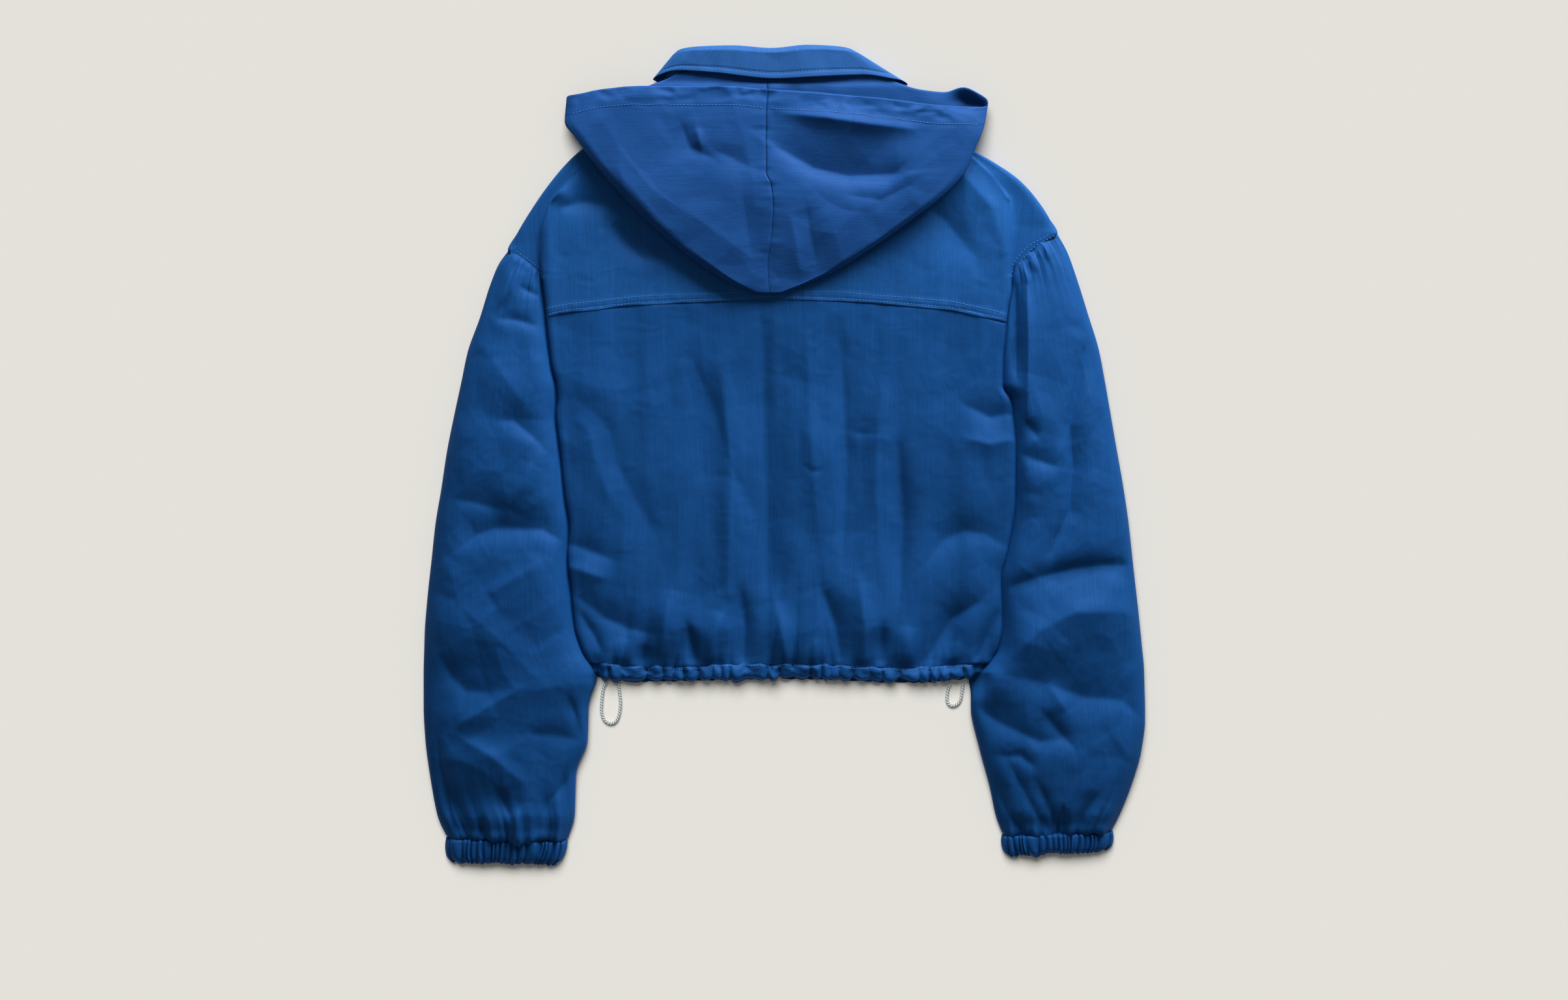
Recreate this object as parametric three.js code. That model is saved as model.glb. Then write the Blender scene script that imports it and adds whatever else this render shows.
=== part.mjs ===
// A cropped windbreaker with a hood, laid flat on its front, its hood spread over its back.
// Millimetres. +Y runs from the hem to the collar, +X to the right, +Z up from the surface it lies on.
// Every piece of cloth is a closed wall: a grid of points on its outer face and the same grid moved in.
import * as THREE from "three";

// Driving dimensions
const WALL = 1.2; // one layer of cloth with its seam turnings
const SEAM = 0.4; // gap between two pieces that are sewn together
const HEM_DEPTH = 9.5; // from the hem seam to the lower edge
const CUFF_WALL = 1.5; // doubled cloth round the elastic
const ROLL = 7; // how far a folded side edge rounds away
const FRONT_TOP = WALL; // the fronts lie flat on the surface
const BACK_FOOT = FRONT_TOP + 0.35; // lowest edge of the back, just above the fronts
const LAYER_GAP = 0.4; // between the hood and the yoke it lies on
const CORD_DIAMETER = 2.7;
const CORD_SIDES = 8;
const ZIP_X = -4; // centre front
const HEM_GATHERS = 34; // on the back half of the hem
const CUFF_GATHERS = 20; // on the upper half of each cuff

// Small helpers
const clamp01 = (t) => Math.min(1, Math.max(0, t));
const mix = (a, b, t) => a + (b - a) * t;
const smooth = (t) => clamp01(t) ** 2 * (3 - 2 * clamp01(t));
const radians = (degrees) => (degrees * Math.PI) / 180;

function table(columns, ...rows) {
  const names = columns.split(" ");
  return rows.map((row) => Object.fromEntries(names.map((name, i) => [name, row[i]])));
}

// The value of one column where another column, which only rises or only falls, has the value at.
// Between the rows it is a cubic whose slope never overshoots.
function read(rows, key, column, at) {
  const r = rows[0][key] < rows[rows.length - 1][key] ? rows : [...rows].reverse();
  if (at <= r[0][key]) return r[0][column];
  if (at >= r[r.length - 1][key]) return r[r.length - 1][column];
  let i = 0;
  while (r[i + 1][key] < at) i++;
  const secant = (k) => {
    const j = Math.min(Math.max(k, 0), r.length - 2);
    return (r[j + 1][column] - r[j][column]) / (r[j + 1][key] - r[j][key]);
  };
  const slope = (k) => {
    const [a, b] = [secant(k - 1), secant(k)];
    return a * b <= 0 ? 0 : (2 * a * b) / (a + b);
  };
  const h = r[i + 1][key] - r[i][key];
  const t = (at - r[i][key]) / h;
  const rise = t * t * (3 - 2 * t);
  const lead = t * (1 - t) * (1 - t) * h * slope(i);
  const tail = t * t * (1 - t) * h * slope(i + 1);
  return mix(r[i][column], r[i + 1][column], rise) + lead - tail;
}

// Soft folds: a row is a ridge (height above 0) or a trough (below 0) along the line from
// (x1, y1) to (x2, y2), width across, fading at both ends.
const FOLD_COLUMNS = "x1 y1 x2 y2 width height";
function relief(rows) {
  return (x, y) => {
    let sum = 0;
    for (const f of rows) {
      const [dx, dy] = [f.x2 - f.x1, f.y2 - f.y1];
      const along = ((x - f.x1) * dx + (y - f.y1) * dy) / (dx * dx + dy * dy);
      const t = clamp01(along);
      const off = Math.hypot(x - f.x1 - t * dx, y - f.y1 - t * dy);
      const fade = 0.35 + 0.65 * Math.sin(Math.PI * t) ** 0.8;
      sum += f.height * fade * Math.exp(-((off / f.width) ** 2));
    }
    return sum;
  };
}

// A wall between the outer grid and the same grid moved in by the thickness.
// point(i, j) gives the outer face; i runs round the piece and j along it. A ring closes in i.
// The outer face looks along (d point/di) x (d point/dj), or the other way where turned is true.
// The rims at both ends of j stay square to the surface, so neighbours keep their gap.
function wall(point, ni, nj, { thickness = WALL, ring = false, turned = false, floor = -Infinity } = {}) {
  const outer = [];
  for (let j = 0; j < nj; j++) {
    for (let i = 0; i < ni; i++) outer.push(new THREE.Vector3(...point(i, j)));
  }
  const at = (i, j) => outer[j * ni + (ring ? (i + ni) % ni : Math.min(Math.max(i, 0), ni - 1))];
  const inner = [];
  for (let j = 0; j < nj; j++) {
    const [before, after] = [Math.max(j - 1, 0), Math.min(j + 1, nj - 1)];
    for (let i = 0; i < ni; i++) {
      const du = at(i + 1, j).clone().sub(at(i - 1, j));
      const dv = at(i, after).clone().sub(at(i, before));
      const normal = du.cross(dv).normalize().multiplyScalar(turned ? -1 : 1);
      if (j === 0 || j === nj - 1) {
        const along = at(i, after).clone().sub(at(i, before)).setZ(0).normalize();
        normal.addScaledVector(along, -normal.dot(along)).normalize();
      }
      const moved = at(i, j).clone().addScaledVector(normal, -thickness);
      moved.z = Math.max(moved.z, floor);
      inner.push(moved);
    }
  }
  const count = outer.length;
  const faces = [];
  const quad = (a, b, c, d) => {
    if (turned) faces.push(a, c, b, a, d, c);
    else faces.push(a, b, c, a, c, d);
  };
  const last = ring ? ni : ni - 1;
  const id = (i, j) => j * ni + (i % ni);
  for (let j = 0; j < nj - 1; j++) {
    for (let i = 0; i < last; i++) {
      const [a, b, c, d] = [id(i, j), id(i + 1, j), id(i + 1, j + 1), id(i, j + 1)];
      quad(a, b, c, d);
      quad(a + count, d + count, c + count, b + count);
    }
  }
  for (let i = 0; i < last; i++) {
    quad(id(i, 0), id(i, 0) + count, id(i + 1, 0) + count, id(i + 1, 0));
    const [p, q] = [id(i, nj - 1), id(i + 1, nj - 1)];
    quad(p, q, q + count, p + count);
  }
  if (!ring) {
    for (let j = 0; j < nj - 1; j++) {
      quad(id(0, j), id(0, j + 1), id(0, j + 1) + count, id(0, j) + count);
      const [p, q] = [id(ni - 1, j), id(ni - 1, j + 1)];
      quad(p, p + count, q + count, q);
    }
  }
  return solid([...outer, ...inner], faces);
}

function solid(points, faces) {
  const geometry = new THREE.BufferGeometry();
  geometry.setAttribute("position", new THREE.Float32BufferAttribute(points.flatMap((p) => p.toArray()), 3));
  geometry.setIndex(faces);
  geometry.computeVertexNormals();
  return geometry;
}

// The body's outline
const BODY_SIDE = table(
  "y left right",
  [155, -212.5, 199.5],
  [143, -211.5, 199],
  [128, -210, 195.5],
  [105, -208, 194],
  [80, -205, 192],
  [60, -200.5, 192],
  [48, -199.5, 199],
  [36, -201, 201.5],
  [8, -198, 203],
  [-38, -193, 203],
  [-66, -189, 200],
  [-88, -191, 195.5],
  [-110, -188.5, 190.5],
  [-150, -185, 192],
  [-168, -179.5, 189],
  [-180, -174.5, 182.5],
  [-190, -170, 176],
);
const YOKE_SEAM = table(
  "x y",
  [-212, 120],
  [-195, 124],
  [-166, 127.5],
  [-122, 132],
  [-37, 135.5],
  [-16, 137],
  [40, 135.5],
  [91, 132],
  [144, 127],
  [200, 115],
);
const HEM_SEAM = table(
  "x y",
  [-175, -186],
  [-123, -188.5],
  [-70, -186],
  [-20, -184.8],
  [34, -185.2],
  [85, -188],
  [120, -189.5],
  [178, -190],
);
// Rows of the yoke from its seam up to the neck: both ends, the middle, and what each end is.
// side = folded side of the body, arm = armhole edge, shoulder = folded shoulder. low is the height
// of the cloth outside the body's fold line.
const YOKE_ROWS = table(
  "leftX leftY rightX rightY middle end low",
  [-209, 120, 194.5, 116, 137, "side", 6],
  [-210.2, 131, 196.5, 130, 147, "side", 6],
  [-211.6, 144, 199, 143, 159, "side", 6],
  [-212.5, 152, 199.5, 153.5, 168, "side", 6],
  [-214, 156.5, 201, 157.5, 172, "arm", 5],
  [-221, 162, 208, 168, 181, "arm", 7.5],
  [-232, 170.5, 222, 183, 193, "arm", 8],
  [-242.5, 179.5, 239.5, 194.5, 204, "arm", 4],
  [-235, 195, 233, 208, 215, "shoulder", 9],
  [-223, 215, 221, 226, 229, "shoulder", 10],
  [-207, 238, 206, 242, 244, "shoulder", 11],
  [-188, 260, 186, 256, 260, "shoulder", 10.5],
  [-163, 281, 159, 272, 278, "shoulder", 10],
  [-136, 302, 132, 294, 304, "shoulder", 9.5],
  [-107, 324, 101, 320, 334, "shoulder", 9],
);
// Where the body folds over the sleeve head, and how far it stands above the cloth outside it
const BODY_FOLD = table(
  "y left right step",
  [150, -213, 199.5, 6.5],
  [164, -213, 199, 6],
  [191, -212, 199, 4.5],
  [215, -206, 198, 1.5],
  [240, -188, 184, 0],
  [262, -165, 162, 0],
  [300, -116, 112, 0],
  [334, -84, 80, 0],
);
const BODY_HEIGHT = table(
  "y middle edge",
  [-190, 10.5, 10],
  [-172, 13, 12],
  [-150, 14.5, 13.5],
  [-110, 13.5, 14.5],
  [-40, 12.5, 15],
  [50, 12.5, 14.5],
  [125, 13, 14.5],
  [200, 12.5, 13.5],
  [260, 11, 11],
  [334, 9, 9],
);
const BODY_FOLDS = table(
  FOLD_COLUMNS,
  [-204, 238, -186, 222, 12, 1.6],
  [-195, 217, -150, 221, 10, -2.2],
  [-148, 202, -120, 168, 11, -2.4],
  [112, 226, 168, 178, 16, -1.6],
  [-183, 47, -152, 20, 10, -3.2],
  [-152, 20, -108, -76, 13, -3],
  [-64, 68, -28, -54, 10, -3.2],
  [-34, 80, -22, -46, 8, 2.6],
  [-76, 62, -70, -60, 10, 1.8],
  [2, 70, 4, -98, 20, -2.6],
  [24, 58, 48, -76, 8, -2.4],
  [43, 40, 54, -76, 7, 2.6],
  [89, 2, 88, -114, 9, 2],
  [101, 2, 101, -114, 7, -2.2],
  [150, 37, 200, 36, 10, -4],
  [152, 12, 198, 14, 11, 2.4],
  [132, -82, 162, -52, 8, -2.6],
  [162, -52, 187, -78, 8, -2.8],
  [-188, -86, -150, -99, 9, -3],
  [-170, -134, -112, -149, 9, -3.2],
  [-94, -120, -99, -164, 9, 2.6],
  [-87, -152, -77, -182, 7, -3.2],
  [-19, -118, -21, -156, 9, -3.2],
  [-56, -157, -66, -182, 7, 2.4],
  [43, -130, 50, -178, 8, -3],
  [68, -128, 70, -172, 9, 2.4],
  [170, -134, 138, -150, 8, -3.2],
  [138, -150, 120, -184, 8, -2.8],
  [-140, -160, -146, -183, 9, 2.2],
  [10, -150, 8, -182, 10, 2],
  [100, -156, 98, -184, 8, 2],
);
const bodyRelief = relief(BODY_FOLDS);
const seamY = (x) => read(YOKE_SEAM, "x", "y", x);
const hemY = (x) => read(HEM_SEAM, "x", "y", x);

// The middle height holds this far from the centre and gives way to the edge height over the fade
const LEVEL_HALF = 90;
const LEVEL_FADE = 110;

// Height of the back's upper face, away from its folded edges
function backHeight(x, y) {
  const across = smooth((Math.abs(x - ZIP_X) - LEVEL_HALF) / LEVEL_FADE);
  const level = mix(read(BODY_HEIGHT, "y", "middle", y), read(BODY_HEIGHT, "y", "edge", y), across);
  return level + bodyRelief(x, y) * smooth((y + 186) / 14);
}

// Folded side edge: angles round the fold from its foot to its top. side is -1 left, 1 right.
const FOLD_ANGLES = [238, 212, 186, 160, 135, 112];
const FOLD_WIDEST = 0.42; // share of the height at which the fold reaches furthest out
function foldedEdge(edgeX, side, top, k) {
  const a = radians(FOLD_ANGLES[k]);
  const middle = mix(BACK_FOOT, top, FOLD_WIDEST);
  const downTo = Math.abs(Math.sin(radians(FOLD_ANGLES[0])));
  const lift = Math.sin(a) > 0 ? top - middle : (middle - BACK_FOOT) / downTo;
  const inward = ROLL * (1 + Math.cos(a));
  return [edgeX - side * inward, middle + lift * Math.sin(a)];
}

// One row of the back from left to right: x and z of each column
const EDGE_COLUMNS = FOLD_ANGLES.length;
const MIDDLE_COLUMNS = 22;
const BACK_COLUMNS = MIDDLE_COLUMNS + 2 * EDGE_COLUMNS;
function edgeColumn(row, side, k, topAt) {
  const edgeX = side < 0 ? row.leftX : row.rightX;
  const y = side < 0 ? row.leftY : row.rightY;
  const inner = edgeX - side * ROLL;
  if (row.end === "side") return foldedEdge(edgeX, side, topAt(inner), k);
  const foldX = read(BODY_FOLD, "y", side < 0 ? "left" : "right", y);
  const step = read(BODY_FOLD, "y", "step", y);
  const top = topAt(foldX - side * ROLL);
  const low = Math.min(row.low, top - step);
  if (k === 5) return [foldX - side * 2.5, top - Math.min(step, 1.4) * 0.8];
  if (k === 4) return [foldX + side * 0.4, mix(low, top, step > 1 ? 0.5 : 0.8)];
  if (row.end === "arm") {
    const reach = Math.max(Math.abs(edgeX - foldX), 1.2);
    return [foldX + side * reach * [1, 0.66, 0.33, 0.12][k], low + [0, 0.2, 0.3, 0.8][k]];
  }
  if (k === 3) return [mix(inner, foldX, 0.5), low];
  return foldedEdge(edgeX, side, low, [0, 2, 4][k]);
}

function backColumn(row, i, topAt) {
  if (i < EDGE_COLUMNS) return edgeColumn(row, -1, i, topAt);
  if (i >= BACK_COLUMNS - EDGE_COLUMNS) return edgeColumn(row, 1, BACK_COLUMNS - 1 - i, topAt);
  const from = row.end === "side" ? row.leftX + ROLL : read(BODY_FOLD, "y", "left", row.leftY) + ROLL;
  const to = row.end === "side" ? row.rightX - ROLL : read(BODY_FOLD, "y", "right", row.rightY) - ROLL;
  const x = mix(from, to, (i - EDGE_COLUMNS) / (MIDDLE_COLUMNS - 1));
  return [x, topAt(x)];
}

// The yoke's rows bow towards the neck in the middle; the first row is the seam itself
function yokeRowY(row, x, v) {
  const u = clamp01((x - row.leftX) / (row.rightX - row.leftX));
  const ends = mix(row.leftY, row.rightY, u);
  const bowed = ends + (row.middle - (row.leftY + row.rightY) / 2) * 4 * u * (1 - u);
  return v === 0 ? seamY(x) : bowed;
}

function backYoke() {
  return wall(
    (i, j) => {
      const row = YOKE_ROWS[j];
      const topAt = (x) => backHeight(x, yokeRowY(row, x, j));
      const [x, z] = backColumn(row, i, topAt);
      return [x, yokeRowY(row, x, j), z];
    },
    BACK_COLUMNS,
    YOKE_ROWS.length,
  );
}

const LOWER_ROWS = 17;
function backLower() {
  return wall(
    (i, j) => {
      const v = j / (LOWER_ROWS - 1);
      const rowY = (x) => mix(seamY(x) - SEAM, hemY(x), v);
      const [leftY, rightY] = [rowY(-200), rowY(190)];
      const row = {
        leftX: read(BODY_SIDE, "y", "left", leftY),
        rightX: read(BODY_SIDE, "y", "right", rightY),
        end: "side",
      };
      const [x, z] = backColumn(row, i, (at) => backHeight(at, rowY(at)));
      return [x, rowY(x), z];
    },
    BACK_COLUMNS,
    LOWER_ROWS,
    { turned: true },
  );
}

// The fronts: flat plates with the body's outline, just inside the back's folded edges
const NECK_FRONT = table(
  "x y",
  [-113, 315.5],
  [-100, 303],
  [-84, 288],
  [-62, 273.5],
  [-34, 262.5],
  [-4, 258],
  [28, 260.5],
  [54, 269.5],
  [78, 284],
  [93, 297],
  [106, 311.5],
);
const EDGE_INSET = 1.2;
function frontOutline(side) {
  const [xKey, yKey, sideKey] = side < 0 ? ["leftX", "leftY", "left"] : ["rightX", "rightY", "right"];
  const inner = ZIP_X + side * 3;
  const line = [[inner, hemY(inner) + 2 * SEAM]];
  for (let x = inner + side * 22; Math.abs(x) < 160; x += side * 22) line.push([x, hemY(x) + 2 * SEAM]);
  for (const r of [...BODY_SIDE].reverse().filter((s) => s.y < 118)) {
    line.push([r[sideKey] - side * EDGE_INSET * (r.y < -185 ? 3 : 1), Math.max(r.y, -184)]);
  }
  for (const r of YOKE_ROWS.slice(0, -1)) {
    const inset = r.end === "arm" ? 0.6 : EDGE_INSET;
    line.push([r[xKey] - side * inset, r[yKey] + (r.end === "arm" ? 0.6 : 0)]);
  }
  const neck = NECK_FRONT.filter((n) => (n.x - inner) * side > 4);
  if (side > 0) neck.reverse();
  for (const n of neck) line.push([n.x, n.y]);
  line.push([inner, 258]);
  return line;
}

function plate(line, thickness) {
  const shape = new THREE.Shape(line.map(([x, y]) => new THREE.Vector2(x, y)));
  return new THREE.ExtrudeGeometry(shape, { depth: thickness, bevelEnabled: false });
}

// Centre-front zip: the teeth stand in the gap between the fronts, the tapes lie on their inner faces
function zip() {
  const [tape, teeth] = [12, 2.6];
  const [low, seat, high] = [0.2, FRONT_TOP + 0.3, FRONT_TOP + 1.3];
  const across = [
    [-teeth, low],
    [teeth, low],
    [teeth, seat],
    [tape, seat],
    [tape, high],
    [-tape, high],
    [-tape, seat],
    [-teeth, seat],
  ];
  const shape = new THREE.Shape(across.map(([x, z]) => new THREE.Vector2(x, z)));
  const [bottom, top] = [-194, 255];
  return new THREE.ExtrudeGeometry(shape, { depth: top - bottom, bevelEnabled: false })
    .rotateX(Math.PI / 2)
    .translate(ZIP_X, top, 0);
}

// Hem casing: a flattened ring, open at the zip, gathered by its cord. Uneven gathers come from
// a second, slower wave on their spacing.
function hemCasing() {
  const topCount = HEM_GATHERS * 2 + 1;
  const sideCount = 3;
  const underCount = 24;
  const count = topCount + 2 * (sideCount + underCount);
  const [left, right] = [-169.5, 175.5];
  const gathered = (k) => {
    const t = k / (topCount - 1);
    const uneven = t + 0.006 * Math.sin(17 * t) + 0.004 * Math.sin(41 * t + 1);
    return mix(left + 5, right - 5, clamp01(uneven));
  };
  const section = (i, v) => {
    const half = sideCount + underCount;
    if (i >= half && i < half + topCount) {
      const k = i - half;
      const fade = Math.min(k, topCount - 1 - k) > 0 ? 1 : 0;
      const crest = (k % 2 ? 1 : -1) * fade * (0.75 + 0.35 * Math.sin(k * 1.7));
      return [gathered(k), 10.1 - 1.2 * v + crest * 1.15, crest];
    }
    const onLeft = i < half;
    const k = onLeft ? i : count - 1 - i; // 0 at the zip, rising towards the side
    const side = onLeft ? -1 : 1;
    const edge = onLeft ? left : right;
    if (k >= underCount) {
      const [inward, z] = [[3.2, 0.6], [0.4, 3.2], [1.2, 7]][k - underCount];
      return [edge - side * inward, z, 0];
    }
    const x = mix(ZIP_X + side * 3.1, edge - side * 7, k / (underCount - 1));
    return [x, 0, k > 0 && k < underCount - 1 ? (k % 2 ? 0.5 : -0.5) : 0];
  };
  return wall(
    (i, j) => {
      const v = j / 2;
      const [x, z, wave] = section(i, v);
      const y = hemY(x) - SEAM - HEM_DEPTH * v - wave * 1.1 * v;
      return [x, y, z];
    },
    count,
    3,
    { turned: true, floor: 0 },
  );
}

// Sleeves: flattened tubes on the surface. A row is one ring: its outer and inner edge, the height
// of its dome, and in how many steps the wall goes on to the next row.
const SLEEVE_COLUMNS = "outerX outerY innerX innerY height steps";
const LEFT_SLEEVE = table(
  SLEEVE_COLUMNS,
  [-243, 178.6, -214.6, 155.6, 9, 1],
  [-251, 167, -213.9, 145, 12, 1],
  [-259, 147, -212.3, 127, 15, 1],
  [-267, 121, -210, 104, 18, 2],
  [-278, 90, -205.8, 76, 20, 1],
  [-283, 66, -202.3, 57, 22, 2],
  [-289, 38, -203, 34, 23, 2],
  [-296, 3, -199.2, 3, 24, 2],
  [-301, -30, -195.8, -30, 24, 2],
  [-306, -60, -192, -62, 24, 2],
  [-309.5, -92, -192.6, -92, 24, 2],
  [-313, -124, -189.3, -126, 24, 2],
  [-315.5, -155, -186, -155, 24, 1],
  [-316, -172, -180, -172, 24, 1],
  [-316.5, -190, -171.8, -188, 23, 1],
  [-316.5, -206, -171.8, -203, 23, 1],
  [-316.5, -222, -171.5, -218, 23, 2],
  [-315, -250, -172.5, -250, 22, 2],
  [-311, -281, -182.5, -280, 20, 2],
  [-304, -318, -184, -316, 16, 1],
  [-297, -334, -189.5, -335.5, 12.5, 1],
);
const RIGHT_SLEEVE = table(
  SLEEVE_COLUMNS,
  [240, 193.6, 201.6, 156.6, 9, 1],
  [248, 179, 201, 145, 12, 1],
  [257, 154, 198, 127, 15, 1],
  [266, 125, 195.6, 104, 18, 2],
  [276, 92, 194, 78, 20, 1],
  [281, 66, 194, 63, 21, 1],
  [285, 43, 201.6, 48, 22, 2],
  [291, 8, 204.3, 10, 23, 2],
  [297, -26, 204.3, -26, 24, 2],
  [302, -60, 202.6, -60, 24, 2],
  [305.5, -92, 195.8, -92, 24, 1],
  [307.5, -110, 192.4, -110, 24, 2],
  [311, -141, 193.3, -143, 24, 2],
  [313.5, -166, 191.6, -166, 24, 1],
  [315.5, -187, 184.5, -181, 24, 1],
  [316, -205, 177.3, -201.5, 24, 1],
  [316.5, -222, 163, -205, 24, 1],
  [316.5, -232, 162.5, -222, 24, 2],
  [313, -261, 171, -258, 23, 2],
  [303.5, -293, 180.2, -292, 20, 2],
  [294, -316.5, 185.5, -316.5, 16, 1],
  [288, -328.5, 191, -331.5, 12.5, 1],
);
const SLEEVE_FOLDS = {
  left: table(
    FOLD_COLUMNS,
    [-232, 163, -250, 130, 6, 2],
    [-228, 148, -214, 140, 6, -2],
    [-248, 119, -219, 113, 7, -2],
    [-250, 26, -228, 40, 8, -3.5],
    [-228, 40, -200, 12, 9, -4],
    [-219, 2, -246, -50, 8, 3.5],
    [-207, -6, -232, -48, 8, -3],
    [-282, -82, -250, -66, 8, -4.5],
    [-250, -66, -214, -67, 8, -4.5],
    [-281, -109, -240, -139, 9, 3.5],
    [-240, -139, -208, -202, 9, 3.5],
    [-236, -178, -202, -209, 8, -4],
    [-290, -160, -262, -196, 14, -3],
    [-286, -240, -228, -287, 9, -4],
    [-218, -252, -178, -270, 12, 3.5],
    [-248, -290, -236, -318, 6, -4],
    [-196, -287, -212, -330, 6, -3.5],
    [-272, -284, -268, -328, 7, 3],
    [-226, -300, -224, -330, 6, 2.5],
    [-304, -262, -288, -326, 8, -2.5],
  ),
  right: table(
    FOLD_COLUMNS,
    [212, 150, 212, 36, 6, 4],
    [203, 140, 203, 70, 5, -5],
    [227, 184, 232, 164, 5, 2],
    [236, 150, 262, 92, 12, 2],
    [260, 72, 250, -24, 8, -4],
    [250, -24, 232, -84, 8, -3.5],
    [214, 20, 248, 24, 7, -3.5],
    [206, 0, 241, -13, 8, -4],
    [276, 20, 286, -60, 12, 2.5],
    [202, -115, 245, -103, 8, -5],
    [245, -103, 304, -97, 8, -5],
    [222, -88, 282, -78, 10, 3],
    [206, -140, 262, -122, 12, 3],
    [196, -186, 237, -147, 9, -3.5],
    [237, -147, 304, -129, 10, -3.5],
    [174, -217, 236, -250, 8, -4],
    [225, -226, 254, -254, 7, -4],
    [258, -215, 312, -226, 14, 3],
    [200, -258, 236, -322, 8, -3.5],
    [212, -262, 226, -318, 8, 3],
    [282, -292, 264, -328, 7, -3.5],
    [250, -284, 252, -324, 7, 3],
    [180, -288, 203, -328, 7, -2.5],
  ),
};
// Places round a ring, over the top from -1 at the outer edge to 1 at the inner edge, then back under
const RING_TOP = [
  -1, -0.97, -0.89, -0.76, -0.6, -0.44, -0.28, -0.12, 0.06, 0.24, 0.42, 0.6, 0.76, 0.89, 0.97, 1,
];
const RING_UNDER = [0.93, 0, -0.93];

function sleeve(rows, folds) {
  const lift = relief(folds);
  const indexed = rows.map((r, index) => ({ ...r, index }));
  const between = (r) => Array.from({ length: r.steps }, (_, k) => r.index + k / r.steps);
  const stations = indexed.slice(0, -1).flatMap(between);
  stations.push(rows.length - 1);
  const topCount = RING_TOP.length;
  return wall(
    (i, j) => {
      const at = (column) => read(indexed, "index", column, stations[j]);
      const height = at("height");
      const over = i < topCount;
      const across = over ? RING_TOP[i] : RING_UNDER[i - topCount];
      const t = (across + 1) / 2;
      const x = mix(at("outerX"), at("innerX"), t);
      const y = mix(at("outerY"), at("innerY"), t);
      if (!over) return [x, y, 0];
      const foot = 0.24 * height;
      const dome = Math.sqrt(Math.max(0, 1 - Math.abs(across) ** 2.5));
      const toCuff = stations.length - 1 - j;
      const fade = smooth((1 - Math.abs(across)) / 0.3) * smooth(toCuff / 3 + 0.35);
      const gathers = Math.sin(i * 2.4) * 0.9 * (smooth(1 - j / 4) + smooth(1 - toCuff / 4));
      const inside = smooth((1 - Math.abs(across)) / 0.15);
      return [x, y, foot + (height - foot) * dome + lift(x, y) * fade + gathers * inside];
    },
    topCount + RING_UNDER.length,
    stations.length,
    { ring: true, turned: rows[0].outerX < 0, floor: 0 },
  );
}

// Cuffs: short elastic rings, gathered all round
const CUFFS = table(
  "name topOuterX topOuterY topInnerX topInnerY endOuterX endOuterY endInnerX endInnerY height",
  ["left", -296.5, -335, -190.5, -337, -294.5, -357.5, -197.5, -359, 12],
  ["right", 288, -329.5, 191, -333, 285.5, -347, 194.5, -352, 12],
);
function cuff(row) {
  const topCount = CUFF_GATHERS * 2 + 1;
  const underCount = 16;
  return wall(
    (i, j) => {
      const v = j / 2;
      const over = i < topCount;
      const t = over ? i / (topCount - 1) : 1 - (i - topCount + 1) / (underCount + 1);
      const across = 2 * t - 1;
      const edge = (name) => mix(row["top" + name], row["end" + name], v);
      const crest = i % 2 ? 1 : -1;
      const swell = 0.8 * Math.sin(Math.PI * v);
      const x = mix(edge("OuterX"), edge("InnerX"), t);
      const ends = over && (i === 0 || i === topCount - 1);
      const y = mix(edge("OuterY"), edge("InnerY"), t) - (ends ? 0 : crest * 0.5 * v);
      if (!over) return [x, y, 0];
      const foot = 0.3 * row.height;
      const dome = Math.abs(1 - Math.abs(across) ** 3) ** 0.5;
      return [x, y, foot + (row.height - foot + swell) * dome + (ends ? 0 : crest * 0.85)];
    },
    topCount + underCount,
    3,
    { ring: true, thickness: CUFF_WALL, turned: row.topOuterX < 0, floor: 0 },
  );
}

// Hood: each half is one panel folded along the hood's side, its upper layer towards the viewer and
// its lower layer on the yoke. Both layers end at the centre seam.
const HOOD_SEAM = table(
  "y x",
  [320, -14.5],
  [292, -16],
  [246, -16],
  [236, -12],
  [218, -10],
  [194, -11],
  [166, -14.5],
  [138, -13],
);
const HOOD_EDGE = {
  left: table(
    "v x y",
    [0, -191, 312],
    [0.1, -192.5, 292],
    [0.2, -183, 277],
    [0.34, -160, 247],
    [0.48, -134, 219],
    [0.62, -106, 193],
    [0.77, -75, 169],
    [0.9, -43, 149.5],
    [1, -23, 141.5],
  ),
  right: table(
    "v x y",
    [0, 179, 309],
    [0.1, 175.5, 290],
    [0.2, 168, 270],
    [0.31, 157, 246],
    [0.44, 137, 225],
    [0.58, 109, 204],
    [0.73, 74, 180],
    [0.88, 38, 158.5],
    [1, -3.5, 141.5],
  ),
};
// The mouth's edge on the upper layer, and the lower layer's edge behind it
const HOOD_MOUTH = table(
  "x y",
  [-191, 314],
  [-181, 315.5],
  [-160, 319.5],
  [-126, 322],
  [-52, 322],
  [-13, 319],
  [20, 317],
  [95, 310],
  [146, 304.5],
  [172, 304],
  [179, 306],
);
const HOOD_BASE = table(
  "x y",
  [-191, 313],
  [-160, 317],
  [-126, 321],
  [-108, 325],
  [-70, 331.5],
  [-4, 333],
  [60, 331],
  [100, 322],
  [140, 317.5],
  [156, 321],
  [170, 316],
  [179, 311],
);
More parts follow.
